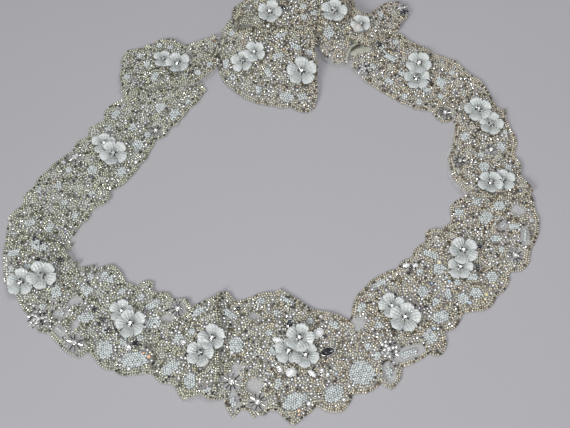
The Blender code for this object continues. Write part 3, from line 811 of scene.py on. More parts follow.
def make_sheet(stretch):
    """The net of one stretch: its object, and the Sheet that beads are laid on."""
    places = [-1 + 2 * k / COLUMNS for k in range(COLUMNS + 1)]
    under = [net_row(stretch, step, part, places) for step, part in stations(stretch.rungs, STATION)]
    over = []
    for i in range(len(under)):
        over.append([under[i][j] + grid_normal(under, i, j) * NET for j in range(len(places))])
    rims = [w * MM for w in RIMS.get(stretch.name, (RIM,) * 4)]
    starts, ends = FREE_ENDS.get(stretch.name, (False, False))
    edges = [(edge_line(over, 0, 1), rims[0]), (edge_line(over, -1, -2), rims[1])]
    if starts:
        edges.append((list(zip(over[0], over[1])), rims[2]))
    if ends:
        edges.append((list(zip(over[-1], over[-2])), rims[3]))
    flat_under = [p for row in under for p in row]
    flat_over = [p for row in over for p in row]
    mesh = shell_mesh(f"net_{stretch.name}", flat_under, flat_over, len(over), len(places))
    sheet = Sheet(stretch.name, flat_over, grid_faces(len(over), len(places)), edges)
    return add_object(f"net_{stretch.name}", mesh), sheet


def edge_line(grid, column, inside):
    return [(row[column], row[inside]) for row in grid]


# Where each bead goes: the room is a table of what stands in each 3 mm square of the plan
SQUARE = 3.0 * MM
SPARE = 1.0 * MM
room = defaultdict(list)
Placed = namedtuple("Placed", "point radius")


def square_of(value):
    return math.floor(value / SQUARE)


def take(point, radius):
    """Marks the plan squares that a round thing reaches, with a bead's radius to spare."""
    reach = radius + SPARE
    placed = Placed(point, radius)
    for i in range(square_of(point.x - reach), square_of(point.x + reach) + 1):
        for j in range(square_of(point.y - reach), square_of(point.y + reach) + 1):
            room[i, j].append(placed)


def is_free(point, radius, ease=EASE):
    for other in room.get((square_of(point.x), square_of(point.y)), ()):
        if abs(other.point.z - point.z) > max(BEAD_STEP * MM, other.radius):
            continue
        dx = other.point.x - point.x
        dy = other.point.y - point.y
        if dx * dx + dy * dy < ((other.radius + radius) * ease) ** 2:
            return False
    return True


Bead = namedtuple("Bead", "point along up size kind")
beads = defaultdict(list)
KINDS = ("champagne", "bright", "deep", "dark", "milk", "white")
FILL_MIX = (("champagne", 0.62), ("bright", 0.17), ("deep", 0.08), ("dark", 0.03), ("milk", 0.10))
ROW_MIX = (("champagne", 0.44), ("bright", 0.22), ("deep", 0.17), ("dark", 0.07), ("milk", 0.10))
# The heap, the right side and the tail take a darker mix of beads: painted shade, where the light falls
# off towards the back and right of the loop
SHADED_SHEET_MIX = (("champagne", 0.54), ("bright", 0.10), ("deep", 0.20), ("dark", 0.08), ("milk", 0.08))
SHADED_SHEETS = ("heap_core", "right_side", "tail_strip")
INNER_MIX = (("champagne", 0.38), ("bright", 0.34), ("milk", 0.28))
BORDER_MIX = (("champagne", 0.44), ("deep", 0.30), ("dark", 0.16), ("bright", 0.10))
OVAL_MIX = (("bright", 0.45), ("deep", 0.30), ("dark", 0.25))


def pick(mix):
    share = draw.random() * sum(weight for _, weight in mix)
    for kind, weight in mix:
        share -= weight
        if share <= 0:
            return kind
    return mix[0][0]


# Sheets in painted shade take the darker mix
def fill_mix(sheet):
    return SHADED_SHEET_MIX if sheet.name in SHADED_SHEETS else FILL_MIX


def level_way(way, normal):
    """A way in plan, laid flat on a face."""
    along = Vector((way[0], way[1], 0.0))
    return (along - normal * along.dot(normal)).normalized()


def lay_bead(sheet, x, y, way, kind, size=1.0, ease=EASE):
    """Lays one bead on a sheet, with its hole along way, if there is room for it."""
    hit, normal = sheet.drop(x, y)
    if hit is None or is_covered(sheet, hit):
        return False
    radius = (WHITE_BEAD if kind == "white" else BEAD) * size * MM
    point = hit + normal * (radius * BEAD_SEAT)
    if not is_free(point, radius, ease):
        return False
    take(point, radius)
    along = level_way(way, normal)
    beads[sheet.name].append(Bead(point, along, normal, size, kind))
    return True


def lay_gap_shade(sheet, x, y, way):
    """A small dark disc between two beads of a row: painted shade for the hole and the gap between them.
    """
    hit, normal = sheet.drop(x, y)
    if hit is None:
        return
    along = level_way(way, normal)
    point = hit + normal * GAP_SHADE_HEIGHT * MM
    kind = "gap shade" if draw.random() < DARK_GAP_SHADES else "pale gap shade"
    beads[sheet.name].append(Bead(point, along, normal, 1.0, kind))


# What may lie over a bead is looked for here, in millimetres, and as far up as COVER_REACH
cover_trees = {}
COVER_PLACES = ((0, 0), (4, 0), (-4, 0), (0, 4), (0, -4))
COVER_START = 1.2
COVER_REACH = 20.0


def is_covered(sheet, point):
    """True where another sheet lies over a point and its surroundings."""
    for dx, dy in COVER_PLACES:
        start = Vector((point.x + dx * MM, point.y + dy * MM, point.z + COVER_START * MM))
        if not any(
            tree.ray_cast(start, Vector((0, 0, 1)), COVER_REACH * MM)[0] is not None
            for name, tree in cover_trees.items()
            if name != sheet.name
        ):
            return False
    return True


def walk(line, offset, pitch):
    """Points at an even pitch along a line that stands in from an edge, and the way there."""
    inner = []
    for k, (point, inside) in enumerate(line):
        before = line[max(k - 1, 0)][0]
        after = line[min(k + 1, len(line) - 1)][0]
        along = Vector((after.x - before.x, after.y - before.y))
        if along.length < 1e-9:
            continue
        across = Vector((-along.y, along.x)).normalized()
        if across.dot(Vector((inside.x - point.x, inside.y - point.y))) < 0:
            across = -across
        inner.append(Vector((point.x, point.y)) + across * offset)
    left = pitch / 2
    for a, b in zip(inner, inner[1:]):
        step = b - a
        length = step.length
        if length < 1e-9:
            continue
        way = step / length
        at = left
        while at < length:
            yield a + way * at, way
            at += pitch
        left = at - length


def lay_edge_rows(sheet):
    for line, rim in sheet.rows:
        for row in range(EDGE_ROWS):
            offset = rim + (EDGE_INSET + row * ROW_GAP) * MM
            for point, way in walk(line, offset, ROW_PITCH * MM):
                if sheet.edge_room(point.x, point.y) < ROW_MARGIN * MM:
                    continue
                laid = lay_bead(sheet, point.x, point.y, way, pick(ROW_MIX), ROW_SIZE)
                if laid and row == 0:
                    after = point + way * (ROW_PITCH / 2 * MM)
                    lay_gap_shade(sheet, after.x, after.y, way)


# A cell of the pattern: a core, with rings of beads round it as far as the next cell
Cell = namedtuple("Cell", "kind x y a b cos sin rings")


def cell_radius(cell, p, q):
    length = hypot(p, q)
    if length < 1e-9:
        return cell.b
    return cell.a * cell.b * length / hypot(cell.b * p, cell.a * q)


def cell_room(cell, x, y):
    """How far a point stands outside a cell's core, or inside it if it is negative."""
    dx, dy = x - cell.x, y - cell.y
    p = dx * cell.cos + dy * cell.sin
    q = dy * cell.cos - dx * cell.sin
    return hypot(p, q) - cell_radius(cell, p, q)


def make_cell(kind, point, way, length, width, rings):
    return Cell(kind, point.x, point.y, length / 2 * MM, width / 2 * MM, way.x, way.y, rings)


def in_cell(cell, p, q):
    return Vector((cell.x + p * cell.cos - q * cell.sin, cell.y + p * cell.sin + q * cell.cos))


def shaken(amount):
    return draw.uniform(-amount, amount)


def lay_core(sheet, cell, a, b, kind, pitch):
    """Fills an ellipse with beads in straight rows along its length."""
    rows = int(b / (pitch * CORE_ROW))
    for row in range(-rows, rows + 1):
        q = row * pitch * CORE_ROW
        half = a * math.sqrt(max(0.0, 1 - (q / (b + 0.3 * MM)) ** 2)) * draw.uniform(*CORE_ENDS)
        shift = pitch / 2 if row % 2 else 0.0
        count = int((half + shift) / pitch)
        for k in range(-count, count + 1):
            p = k * pitch + shift
            if abs(p) > half:
                continue
            point = in_cell(cell, p + shaken(CORE_SHAKE) * MM, q + shaken(CORE_SHAKE) * MM)
            if sheet.edge_room(point.x, point.y) > CORE_MARGIN * MM:
                way = (cell.cos + shaken(CORE_TURN), cell.sin + shaken(CORE_TURN))
                size = draw.uniform(*CORE_SIZES)
                lay_bead(sheet, point.x, point.y, way, kind, size, CORE_EASE)


def lay_rings(sheet, cell, others):
    """Rings of beads round a cell's core, each cut where the next cell's begin."""
    for ring in range(cell.rings):
        away = (FIRST_RING + ring * ROW_GAP) * MM
        turn = draw.uniform(0, tau)
        end = turn + tau
        while turn < end:
            p, q = cos(turn), sin(turn)
            reach = cell_radius(cell, p, q) + away
            turn += BEAD_PITCH * MM / reach
            shake = RING_SHAKE + RING_SHAKE * ring
            spot = in_cell(cell, p * reach + shaken(shake) * MM, q * reach + shaken(shake) * MM)
            if sheet.edge_room(spot.x, spot.y) < ROW_MARGIN * MM:
                continue
            here = cell_room(cell, spot.x, spot.y)
            gap = min((cell_room(c, spot.x, spot.y) for c in others), default=1.0) - here
            if gap < 2 * BORDER_GAP * MM:
                continue
            way = (in_cell(cell, -q, p) - Vector((cell.x, cell.y))).normalized()
            is_border = gap < BORDER_WIDTH * MM
            mix = BORDER_MIX if is_border else (INNER_MIX if ring == 0 else fill_mix(sheet))
            if cell.kind == "oval":
                mix = OVAL_MIX
            if lay_bead(sheet, spot.x, spot.y, way, pick(mix), draw.uniform(*BEAD_SIZES)):
                after = spot + way * (BEAD_PITCH / 2 * MM)
                lay_gap_shade(sheet, after.x, after.y, way)


def camera_ray(u, v):
    forward = (LOOK_AT - LOOK_FROM).normalized()
    right = Vector((1, 0, 0))
    up = right.cross(forward)
    way = forward * FOCAL + right * (u - IMAGE[0] / 2) + up * (IMAGE[1] / 2 - v)
    return LOOK_FROM, way.normalized()


def find_pixel(sheets, u, v):
    """The first sheet that a pixel's ray meets, and where."""
    start, way = camera_ray(u, v)
    best = None
    for sheet in sheets:
        hit, _, _, away = sheet.tree.ray_cast(start, way)
        if hit is not None and (best is None or away < best[2]):
            best = (sheet, hit, away)
    return best


def image_way(point, u, v, turn):
    """The way in plan that a turn in the picture shows at a point."""
    far = 6.0
    start, way = camera_ray(u + far * cos(turn), v - far * sin(turn))
    t = (point.z - start.z) / way.z
    there = start + way * t
    return Vector((there.x - point.x, there.y - point.y)).normalized()


def place_all(sheets, table):
    for entry in table:
        found = find_pixel(sheets, entry.u, entry.v)
        if found:
            sheet, point, _ = found
            yield entry, sheet, point, image_way(point, entry.u, entry.v, radians(entry.turn))


# Shapes of beads and stones, each as points and faces, a millimetre to the unit
def circle(sides, shift=0.0):
    """The cosine and sine of each point of a ring, turned by a share of a side."""
    turns = [tau * (k + shift) / sides for k in range(sides)]
    return [(cos(turn), sin(turn)) for turn in turns]


def ring_quads(rings, sides, start=0):
    """The faces between closed rings of points, each ring's points after those of the one before."""
    quads = []
    for ring in range(rings - 1):
        low = start + ring * sides
        for k in range(sides):
            a, b = low + k, low + (k + 1) % sides
            quads.append((a, b, b + sides, a + sides))
    return quads


def ring_caps(rings, sides):
    top = (rings - 1) * sides
    return [tuple(range(sides - 1, -1, -1)), tuple(range(top, top + sides))]


def lathe(profile, sides, twist=0.0):
    """Rings of (radius, height) joined by faces, with flat ends. twist turns every other ring."""
    points = []
    for number, (radius, z) in enumerate(profile):
        points += [(radius * c, radius * s, z) for c, s in circle(sides, twist * number)]
    faces = ring_quads(len(profile), sides)
    if twist:
        faces = [half for a, b, c, d in faces for half in ((a, b, d), (d, b, c))]
    return points, faces + ring_caps(len(profile), sides)


def barrel(profile, sides):
    """A bead lying along x, all of it quads. The profile gives (x, radius) from end to end."""
    points = [(x, radius * c, radius * s) for x, radius in profile for c, s in circle(sides)]
    faces = ring_quads(len(profile), sides)
    top = (len(profile) - 1) * sides
    for k in range(1, sides - 1, 2):
        faces.append((0, (k + 2) % sides, k + 1, k))
        faces.append((top, top + k, top + k + 1, top + (k + 2) % sides))
    return np.array(points), np.array(faces)


SEED_BEAD = barrel(((-BEAD_LENGTH, 0.56 * BEAD), (0.0, BEAD), (BEAD_LENGTH, 0.56 * BEAD)), 6)
ROUND_SHAPE = ((-0.8, 0.46), (-0.42, 0.9), (0.42, 0.9), (0.8, 0.46))
ROUND_BEAD = barrel([(WHITE_BEAD * x, WHITE_BEAD * r) for x, r in ROUND_SHAPE], 8)
GAP_SHADE_DISC = barrel(((-GAP_SHADE_LENGTH, GAP_SHADE), (GAP_SHADE_LENGTH, GAP_SHADE)), 4)
# Which of these shapes a kind of bead has, which material, and whether its shading is smooth
LOOKS = {kind: (SEED_BEAD, number, False) for number, kind in enumerate(KINDS)}
LOOKS["white"] = (ROUND_BEAD, KINDS.index("white"), True)
LOOKS["milk"] = (SEED_BEAD, KINDS.index("milk"), True)
# The discs between beads are painted shade for their holes and gaps, in the dark bead's or the deep
# bead's material
LOOKS["gap shade"] = (GAP_SHADE_DISC, KINDS.index("dark"), False)
LOOKS["pale gap shade"] = (GAP_SHADE_DISC, KINDS.index("deep"), False)


def bead_mesh(name, laid):
    turned = []
    quads = []
    slots = []
    smooth = []
    start = 0
    for bead in laid:
        (points, faces), slot, is_smooth = LOOKS[bead.kind]
        roll = draw.uniform(0, pi)
        side = bead.up.cross(bead.along)
        matrix = Matrix((bead.along, side, bead.up)).transposed() @ Matrix.Rotation(roll, 3, "X")
        turned.append((points * bead.size * MM) @ np.array(matrix).T + np.array(bead.point))
        quads.append(faces + start)
        start += len(points)
        slots += [slot] * len(faces)
        smooth += [is_smooth] * len(faces)
    return new_mesh(name, np.concatenate(turned).tolist(), np.concatenate(quads).tolist(), slots, smooth)


class Pieces:
    """Shapes of several materials gathered into one mesh."""

    def __init__(self):
        self.points = []
        self.faces = []
        self.slots = []

    def add(self, shape, matrix, *slots):
        """Adds a shape, its faces taking the materials in turn."""
        points, faces = shape
        start = len(self.points)
        self.points += [tuple(matrix @ Vector(p)) for p in points]
        self.faces += [tuple(start + k for k in face) for face in faces]
        self.slots += [slots[k % len(slots)] for k in range(len(faces))]

    def mesh(self, name, smooth=None):
        return new_mesh(name, self.points, self.faces, self.slots, smooth)


# A cluster's rings, as shares of its size: how many stones, how far out, and their radius
CLUSTER_RINGS = ((6, 0.23, 0.09), (11, 0.41, 0.075))
CLUSTER_BUGLES = 14
DARK_BUGLES = 0.45
RING_PEARLS = 12
# A round stone with its setting is this share of the size that the table gives
STONE_SHARE = 0.84


def frame_matrix(point, along, up, size=(1, 1, 1)):
    """Millimetre shapes to metres, with x along and z up."""
    along = (along - up * along.dot(up)).normalized()
    side = up.cross(along)
    turn = Matrix((along, side, up)).transposed()
    return Matrix.Translation(point) @ (turn @ Matrix.Diagonal(Vector(size) * MM)).to_4x4()


STONE_SHAPE = lathe(((0.62, -0.5), (1.0, 0.0), (0.98, 0.12), (0.76, 0.42), (0.46, 0.56)), 8, 0.5)
CUP_SHAPE = lathe(((0.8, -0.75), (1.14, -0.5), (1.2, -0.05), (1.1, 0.12), (0.95, 0.1)), 12)
PEARL_SHAPE = lathe([(cos(radians(a)), sin(radians(a))) for a in range(-75, 76, 30)], 14)
BUGLE_SHAPE = lathe(((0.72, -0.5), (1.0, -0.42), (1.0, 0.42), (0.72, 0.5)), 6)
PRONG_SHAPE = lathe(((0.14, -0.6), (0.14, 0.1), (0.09, 0.26)), 5)
CLAW = lathe(((0.5, -0.5), (0.42, 0.4), (0.12, 0.9)), 5)
SMALL_PEARL = lathe(((0.5, -0.85), (1.0, 0.0), (0.5, 0.85)), 6)
SMALL_CUP = lathe(((0.85, -0.95), (1.12, -0.2), (0.98, 0.06)), 8)
# Stones of these kinds are painted glints
GLINT_TINTS = {"orange": ORANGE, "yellow": YELLOW, "blue": BLUE}
# Clear stones take plain white on four faces in five, painted as their glare, and crystal on the fifth
CLEAR_FACETS = (FACET, FACET, FACET, CRYSTAL, FACET)
DARK_FACETS = (SMOKY, SMOKY, SMOKY, SMOKY, CRYSTAL, SMOKY, SMOKY, SMOKY, SMOKY, SMOKY, SMOKY)


MARQUISE_PROFILE = ((0.62, -0.5), (1.0, 0.0), (0.98, 0.14), (0.74, 0.5), (0.42, 0.66))
MARQUISE_SIDES = 12
MARQUISE_POINT = 1.35
MARQUISE_CLAWS = ((1, 0.0), (-1, 0.0), (0.3, 1), (-0.3, -1), (0.35, -1), (-0.35, 1))


def marquise_shapes():
    """A pointed oval stone with a table and two rows of facets, and its setting: the lowest rings."""
    sides = MARQUISE_SIDES
    points = []
    for number, (size, z) in enumerate(MARQUISE_PROFILE):
        for c, s in circle(sides, 0.5 * (number % 2)):
            points.append((size * c, size * math.copysign(abs(s) ** MARQUISE_POINT, s), z))
    _, faces = lathe(MARQUISE_PROFILE, sides, 0.5)
    top = tuple(range(2 * sides, 3 * sides))
    setting = (points[:3 * sides], faces[:4 * sides] + [top] + faces[-2:-1])
    return (points, faces), setting


MARQUISE, MARQUISE_SETTING = marquise_shapes()


def add_round_stone(pieces, point, up, radius, slot, turn=0.0):
    along = Vector((cos(turn), sin(turn), 0))
    base = frame_matrix(point + up * 0.55 * radius * MM, along, up, (radius,) * 3)
    pieces.add(STONE_SHAPE, base, slot)
    pieces.add(CUP_SHAPE, base, SILVER)
    for k in range(4):
        way = pi / 4 + k * pi / 2
        prong = Matrix.Translation((1.02 * cos(way), 1.02 * sin(way), 0.1))
        pieces.add(PRONG_SHAPE, base @ prong, SILVER)


def add_marquise(pieces, point, along, up, length, width, *slots):
    base = frame_matrix(point + up * 0.5 * MM, along, up, (length / 2, width / 2, width / 2.6))
    pieces.add(MARQUISE, base, *slots)
    rim = frame_matrix(
        point + up * 0.4 * MM, along, up, (length / 2 * 1.1, width / 2 * 1.16, width / 2.9)
    )
    pieces.add(MARQUISE_SETTING, rim, SILVER)
    side = up.cross(along)
    for way, across in MARQUISE_CLAWS:
        out = along * way * (length / 2 + 0.4) + side * across * (width / 2 + 0.3)
        spot = point + (out + up * 0.7) * MM
        pieces.add(CLAW, frame_matrix(spot, up, out.normalized(), (0.9, 0.9, 1.2)), SMOKY)


def spoke(along, up, turn):
    """The way that is turned round up from along."""
    return along * cos(turn) + up.cross(along) * sin(turn)


def add_burst(pieces, point, along, up, size, turn):
    """A round stone with bugle beads laid out from it like rays, each with a small pearl at its end."""
    add_round_stone(pieces, point, up, size * 0.14, CRYSTAL, turn)
    rays = 10
    for k in range(rays):
        out = spoke(along, up, turn + tau * (k + draw.uniform(-0.12, 0.12)) / rays)
        length = size * draw.uniform(0.25, 0.31)
        middle = point + out * (size * 0.18 + length / 2) * MM + up * 0.55 * MM
        matrix = frame_matrix(middle, up, out, (0.48, 0.48, length))
        pieces.add(BUGLE_SHAPE, matrix, DARK_BUGLE if draw.random() < DARK_BUGLES else BUGLE)
        tip = point + out * (size * 0.18 + length + 0.7) * MM + up * 0.6 * MM
        pieces.add(SMALL_PEARL, frame_matrix(tip, out, up, (0.62,) * 3), SILVER if k % 2 else BUGLE)


def add_cluster(pieces, point, along, up, size):
    """A dense rosette of small round stones in rings, with bugle beads round them."""
    add_round_stone(pieces, point, up, size * 0.12, CRYSTAL)
    for count, away, radius in CLUSTER_RINGS:
        for k in range(count):
            way = tau * (k + away) / count
            spot = point + spoke(along, up, way) * size * away * MM
            slot = SMOKY if k % 4 == 1 else CRYSTAL
            add_round_stone(pieces, spot, up, size * radius, slot, way)
    for k in range(CLUSTER_BUGLES):
        out = spoke(along, up, tau * (k + 0.5) / CLUSTER_BUGLES)
        middle = point + out * size * 0.52 * MM + up * 0.5 * MM
        slot = DARK_BUGLE if k % 2 else BUGLE
        pieces.add(BUGLE_SHAPE, frame_matrix(middle, up, out, (0.4, 0.4, size * 0.15)), slot)


def lay_stones(sheets, gems):
    for entry, sheet, point, way in place_all(sheets, STONES):
        hit, up = sheet.drop(point.x, point.y)
        if hit is None:
            continue
        along = Vector((way.x, way.y, 0.0))
        pieces = gems[sheet.name]
        radius = max(entry.length, entry.width) / 2
        if entry.kind == "burst":
            add_burst(pieces, hit, along, up, entry.length, radians(entry.turn))
        elif entry.kind == "cluster":
            add_cluster(pieces, hit, along, up, entry.length)
            radius *= 1.15
        elif entry.kind in GLINT_TINTS:
            lifted = hit + up * 0.3 * MM
            add_round_stone(pieces, lifted, up, entry.length / 2 * STONE_SHARE, GLINT_TINTS[entry.kind])
        elif entry.kind in ("round", "ring"):
            add_round_stone(pieces, hit, up, entry.length / 2 * STONE_SHARE, CRYSTAL)
            if entry.kind == "ring":
                for c, s in circle(RING_PEARLS):
                    spot = Vector((c, s, 0)) * (radius + 0.5) * MM
                    centre = hit + spot + up * 0.6 * MM
                    pieces.add(SMALL_PEARL, frame_matrix(centre, spot, up, (0.6,) * 3), PEARL)
                radius += 1.0
        elif entry.kind == "pearl":
            lifted = hit + up * radius * 0.85 * MM
            pieces.add(PEARL_SHAPE, frame_matrix(lifted, along, up, (radius,) * 3), PEARL)
        else:
            slots = DARK_FACETS if entry.kind == "dark" else CLEAR_FACETS
            add_marquise(pieces, hit + up * 0.9 * MM, along, up, entry.length, entry.width, *slots)
            across = entry.width / 2
            for share in (-0.5, 0.0, 0.5):
                take(hit + along * share * (radius - across) * 2 * MM * 0.8, across * MM)
            continue
        take(hit + up * MM, radius * MM)


def swept(path, up, half, high):
    """A soft flattened cord along a path, narrower at its ends."""
    points = []
    last = len(path) - 1
    for number, point in enumerate(path):
        along = (path[min(number + 1, last)] - path[max(number - 1, 0)]).normalized()
        side = up.cross(along).normalized()
        size = HEM_TIP + (1 - HEM_TIP) * min(1.0, min(number, last - number) / 2)
        for c, s in circle(HEM_SIDES):
            points.append(point / MM + side * (c * half * size) + up * (s * high * size))
    return points, ring_quads(len(path), HEM_SIDES) + ring_caps(len(path), HEM_SIDES)


def lay_hems(sheets, gems):
    """The net's curled edge: a pale roll, a dark cord of painted shade in the slit beside it, and pale
    bands.
    """
    up = Vector((0, 0, 1))
    for hem in HEMS:
        sheet = next(s for s in sheets if s.name == hem.stretch)
        path = []
        z = hem.z * MM
        for one, two in zip(hem.points, hem.points[1:]):
            for k in range(HEM_STEPS):
                u = one[0] + (two[0] - one[0]) * k / HEM_STEPS
                v = one[1] + (two[1] - one[1]) * k / HEM_STEPS
                spot = plan_of(u, v, hem.z * MM) * MM
                x, y = spot.x - LAYOUT_MIDDLE.x, spot.y - LAYOUT_MIDDLE.y
                hit, _ = sheet.drop(x, y)
                if hit is not None:
                    z += (hit.z + hem.lift * MM - z) * 0.5
                path.append(Vector((x, y, z)))
        gems[sheet.name].add(swept(path, up, hem.half, hem.high), Matrix.Scale(MM, 4), hem.slot)
        for point in path:
            take(point, hem.half * 0.9 * MM)


# The pattern's cells, and what is strewn on the sheets: the square millimetres of a sheet's box to
# each place that is tried, the small stones' radii, and the share of each kind
cells = defaultdict(list)
TRY_AREA = 12
SMALL_RADII = (0.95, 1.15, 1.3)
TINTED_STONES = 0.06
SMOKY_STONES = 0.02
WHITE_LEAVES = 0.34
CELL_REACH = 42.0


def strewn(sheet, spots, margin):
    """Random places on a sheet that stand at least a margin inside its rims."""
    for _ in range(spots):
        x = draw.uniform(sheet.low.x, sheet.high.x)
        y = draw.uniform(sheet.low.y, sheet.high.y)
        hit, up = sheet.drop(x, y)
        if hit is not None and sheet.edge_room(x, y) >= margin * MM:
            yield x, y, hit, up


def lay_small_stones(sheet, pieces, spots):
    """Small clear stones strewn among the beads, a few of them tinted or dark."""
    for x, y, hit, up in strewn(sheet, spots, 1.6):
        radius = draw.choice(SMALL_RADII)
        if not is_free(hit + up * MM, radius * 1.25 * MM, 1.0):
            continue
        if any(cell_room(c, x, y) < 1.2 * MM for c in cells[sheet.name] if c.kind != "plain"):
            continue
        take(hit + up * MM, radius * 1.1 * MM)
        slot = CRYSTAL
        if draw.random() < TINTED_STONES:
            slot = TINTED
        elif draw.random() < SMOKY_STONES:
            slot = SMOKY
        base = frame_matrix(hit + up * 0.95 * MM, Vector((1, 0, 0)), up, (radius,) * 3)
        pieces.add(STONE_SHAPE, base, slot)
        pieces.add(SMALL_CUP, base, SILVER)


def add_cells(sheets):
    for entry, sheet, point, way in place_all(sheets, MOTIFS):
        rings = 1 if entry.kind == "oval" else MAX_RINGS
        cell = make_cell(entry.kind, point, way, entry.length, entry.width, rings)
        cells[sheet.name].append(cell)


def add_plain_cells(sheet, spots):
    """Small leaf cores wherever the pattern has none yet."""
    mine = cells[sheet.name]
    for x, y, hit, _ in strewn(sheet, spots, 5):
        if any(cell_room(c, x, y) < 7.5 * MM for c in mine):
            continue
        if any(hypot(x - f.x, y - f.y) < 12 * MM for f in flower_spots):
            continue
        turn = draw.uniform(0, pi)
        kind = "white" if draw.random() < WHITE_LEAVES else "plain"
        length = draw.uniform(6, 9)
        width = draw.uniform(3.4, 5)
        way = Vector((cos(turn), sin(turn)))
        mine.append(make_cell(kind, hit, way, length, width, MAX_RINGS))


def lay_cells(sheet):
    mine = cells[sheet.name]
    for cell in mine:
        if cell.kind == "white":
            lay_core(sheet, cell, cell.a, cell.b, "white", WHITE_PITCH * MM)
        elif cell.kind == "oval":
            lay_core(sheet, cell, cell.a * 0.52, cell.b * 0.4, "white", WHITE_PITCH * MM)
        elif cell.kind == "plain":
            lay_core(sheet, cell, cell.a, cell.b, "milk", CORE_PITCH * MM)
    for cell in mine:
        away = [(c, hypot(c.x - cell.x, c.y - cell.y)) for c in mine if c is not cell]
        lay_rings(sheet, cell, [c for c, gap in away if gap < CELL_REACH * MM])


# A pass of single beads over a sheet: the pitch of the places that are tried, in millimetres, the
# beads' smallest and largest size, and how much of the room that they need has to be free
Fill = namedtuple("Fill", "pitch low high ease")
FILLS = (Fill(1.3, 0.88, 1.0, 0.92), Fill(1.2, 0.68, 0.8, 0.9))
HEAP_FILL = Fill(1.3, 0.8, 0.95, 0.9)


def fill_sheet(sheet, fill):
    """Single beads wherever there is still room for one."""
    pitch = fill.pitch * MM
    mine = [c for c in cells[sheet.name] if c.kind in ("oval", "net")]
    x = sheet.low.x
    while x < sheet.high.x:
        y = sheet.low.y
        while y < sheet.high.y:
            px = x + shaken(FILL_SHAKE) * MM
            py = y + shaken(FILL_SHAKE) * MM
            y += pitch
            hit, _ = sheet.drop(px, py)
            if hit is None or sheet.edge_room(px, py) < FILL_MARGIN * MM:
                continue
            if any(cell_room(c, px, py) < 0.9 * MM for c in mine):
                continue
            turn = draw.uniform(0, pi)
            way = (cos(turn), sin(turn))
            kind = pick(fill_mix(sheet))
            lay_bead(sheet, px, py, way, kind, draw.uniform(fill.low, fill.high), fill.ease)
        x += pitch


# Moulded flowers, seated on the solids that carry them
flower_spots = []


def ground_tree():
    """The faces of the CAD walls that carry the flowers."""
    points = []
    faces = []
    for name in [s.name for s in STRETCHES] + ["heap_core"]:
        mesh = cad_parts[name].data
        start = len(points)
        points += [v.co.copy() for v in mesh.vertices]
        faces += [[start + k for k in face.vertices] for face in mesh.polygons]
    return BVHTree.FromPolygons(points, faces)


def height_at(tree, x, y):
    hit, _ = fall(tree, x, y)
    return hit.z if hit else None


def seat_flower(tree, flower):
    """The matrix that sets a flower where its solid is."""
    radius = FLOWER_RADIUS * flower.size
    x = flower.x * MM - LAYOUT_MIDDLE.x
    y = flower.y * MM - LAYOUT_MIDDLE.y
    middle = height_at(tree, x, y) or 0.0
    slopes = []
    for dx, dy in ((1, 0), (0, 1)):
        step = radius * 0.5
        low = height_at(tree, x - dx * step, y - dy * step)
        high = height_at(tree, x + dx * step, y + dy * step)
        slopes.append(0.0 if low is None or high is None else (high - low) / (2 * step))
    axis = Vector((-slopes[0], -slopes[1], 1)).normalized()
    turn = Vector((0, 0, 1)).rotation_difference(axis).to_matrix()
    turn = turn @ Matrix.Rotation(radians(flower.turn), 3, "Z")
    foot = Vector((x, y, middle))
    lift = 0.0
    for share in SEAT_RINGS:
        for c, s in circle(SEAT_SIDES):
            local = Vector((c, s, 0)) * (radius * share)
            start = foot + turn @ local + axis * SEAT_REACH
            hit, _, _, _ = tree.ray_cast(start, -axis)
            if hit:
                rise = SEAT_REACH - (start - hit).length
                curl = max(0.0, (share - FOOT) / (1 - FOOT)) * DIP_UNDERSIDE
                lift = max(lift, rise - curl)
    place = foot + axis * (lift + SEAT + flower.lift * MM)
    size = Matrix.Diagonal((flower.size, flower.size, flower.size))
    return Matrix.Translation(place) @ (turn @ size).to_4x4()


def petal_half(share):
    """Half a petal's width, as a share of its widest, from its root to its tip."""
    if share < PETAL_WIDEST:
        return 0.24 + 0.76 * sin(pi / 2 * share / PETAL_WIDEST)
    past = (share - PETAL_WIDEST) / (1 - PETAL_WIDEST)
    return max(0.06, math.sqrt(max(0.0, 1 - past ** 2.4)))


def petal_shape(number, odd):
    """One ridged, cupped petal, its right edge over its neighbour's left one, in millimetres."""
    turn = tau * number / PETALS + PETAL_TURN * sin(3.1 * number + odd)
    droop = PETAL_DROOP * sin(2.3 * number + 1.9 * odd)
    radius = FLOWER_RADIUS / MM * (1 + PETAL_STRETCH * sin(1.7 * number + 2.3 * odd))
    over = []
    for i in range(PETAL_ROWS + 1):
        share = i / PETAL_ROWS
        half = PETAL_HALF * petal_half(share)
        for j in range(PETAL_COLUMNS + 1):
            side = -1 + 2 * j / PETAL_COLUMNS
            tip = 1 - 0.04 * (1 - cos(3 * pi * side)) * share ** 6
            out = (PETAL_START + (1 - PETAL_START) * share * tip) * radius
            across = side * half
            ridge = PETAL_RIDGE * cos(PETAL_RIDGES * pi * side) * sin(pi * share ** 0.8)
            cup = (PETAL_LIFT + droop) * share ** 1.5 - PETAL_CROWN * side * side * sin(pi * share * 0.85)
            lap = PETAL_LAP * side * sin(pi * min(1.0, share * 1.2))
            curl = PETAL_CURL * max(0.0, (share - 0.8) / 0.2) ** 2
            height = PETAL_ROOT + cup + ridge + lap - curl
            over.append((
                out * cos(turn) - across * sin(turn),
                out * sin(turn) + across * cos(turn),
                height,
            ))
    under = [(x, y, z - PETAL_THICK) for x, y, z in over]
    return over + under, shell_faces(PETAL_ROWS + 1, PETAL_COLUMNS + 1)


def petal_slots():
    """The material of each face of a petal: its root, its middle and its tip, from dark to light."""
    face_slots = [slot for slot in PETAL_BANDS for _ in range(PETAL_COLUMNS)]
    walls = len(shell_faces(PETAL_ROWS + 1, PETAL_COLUMNS + 1)) - 2 * len(face_slots)
    return face_slots * 2 + [TIP] * walls


STEM = lathe(((2.2, 0.3), (3.4, 1.2), (2.9, 1.9)), 12)
PRONG_SIZE = 0.42


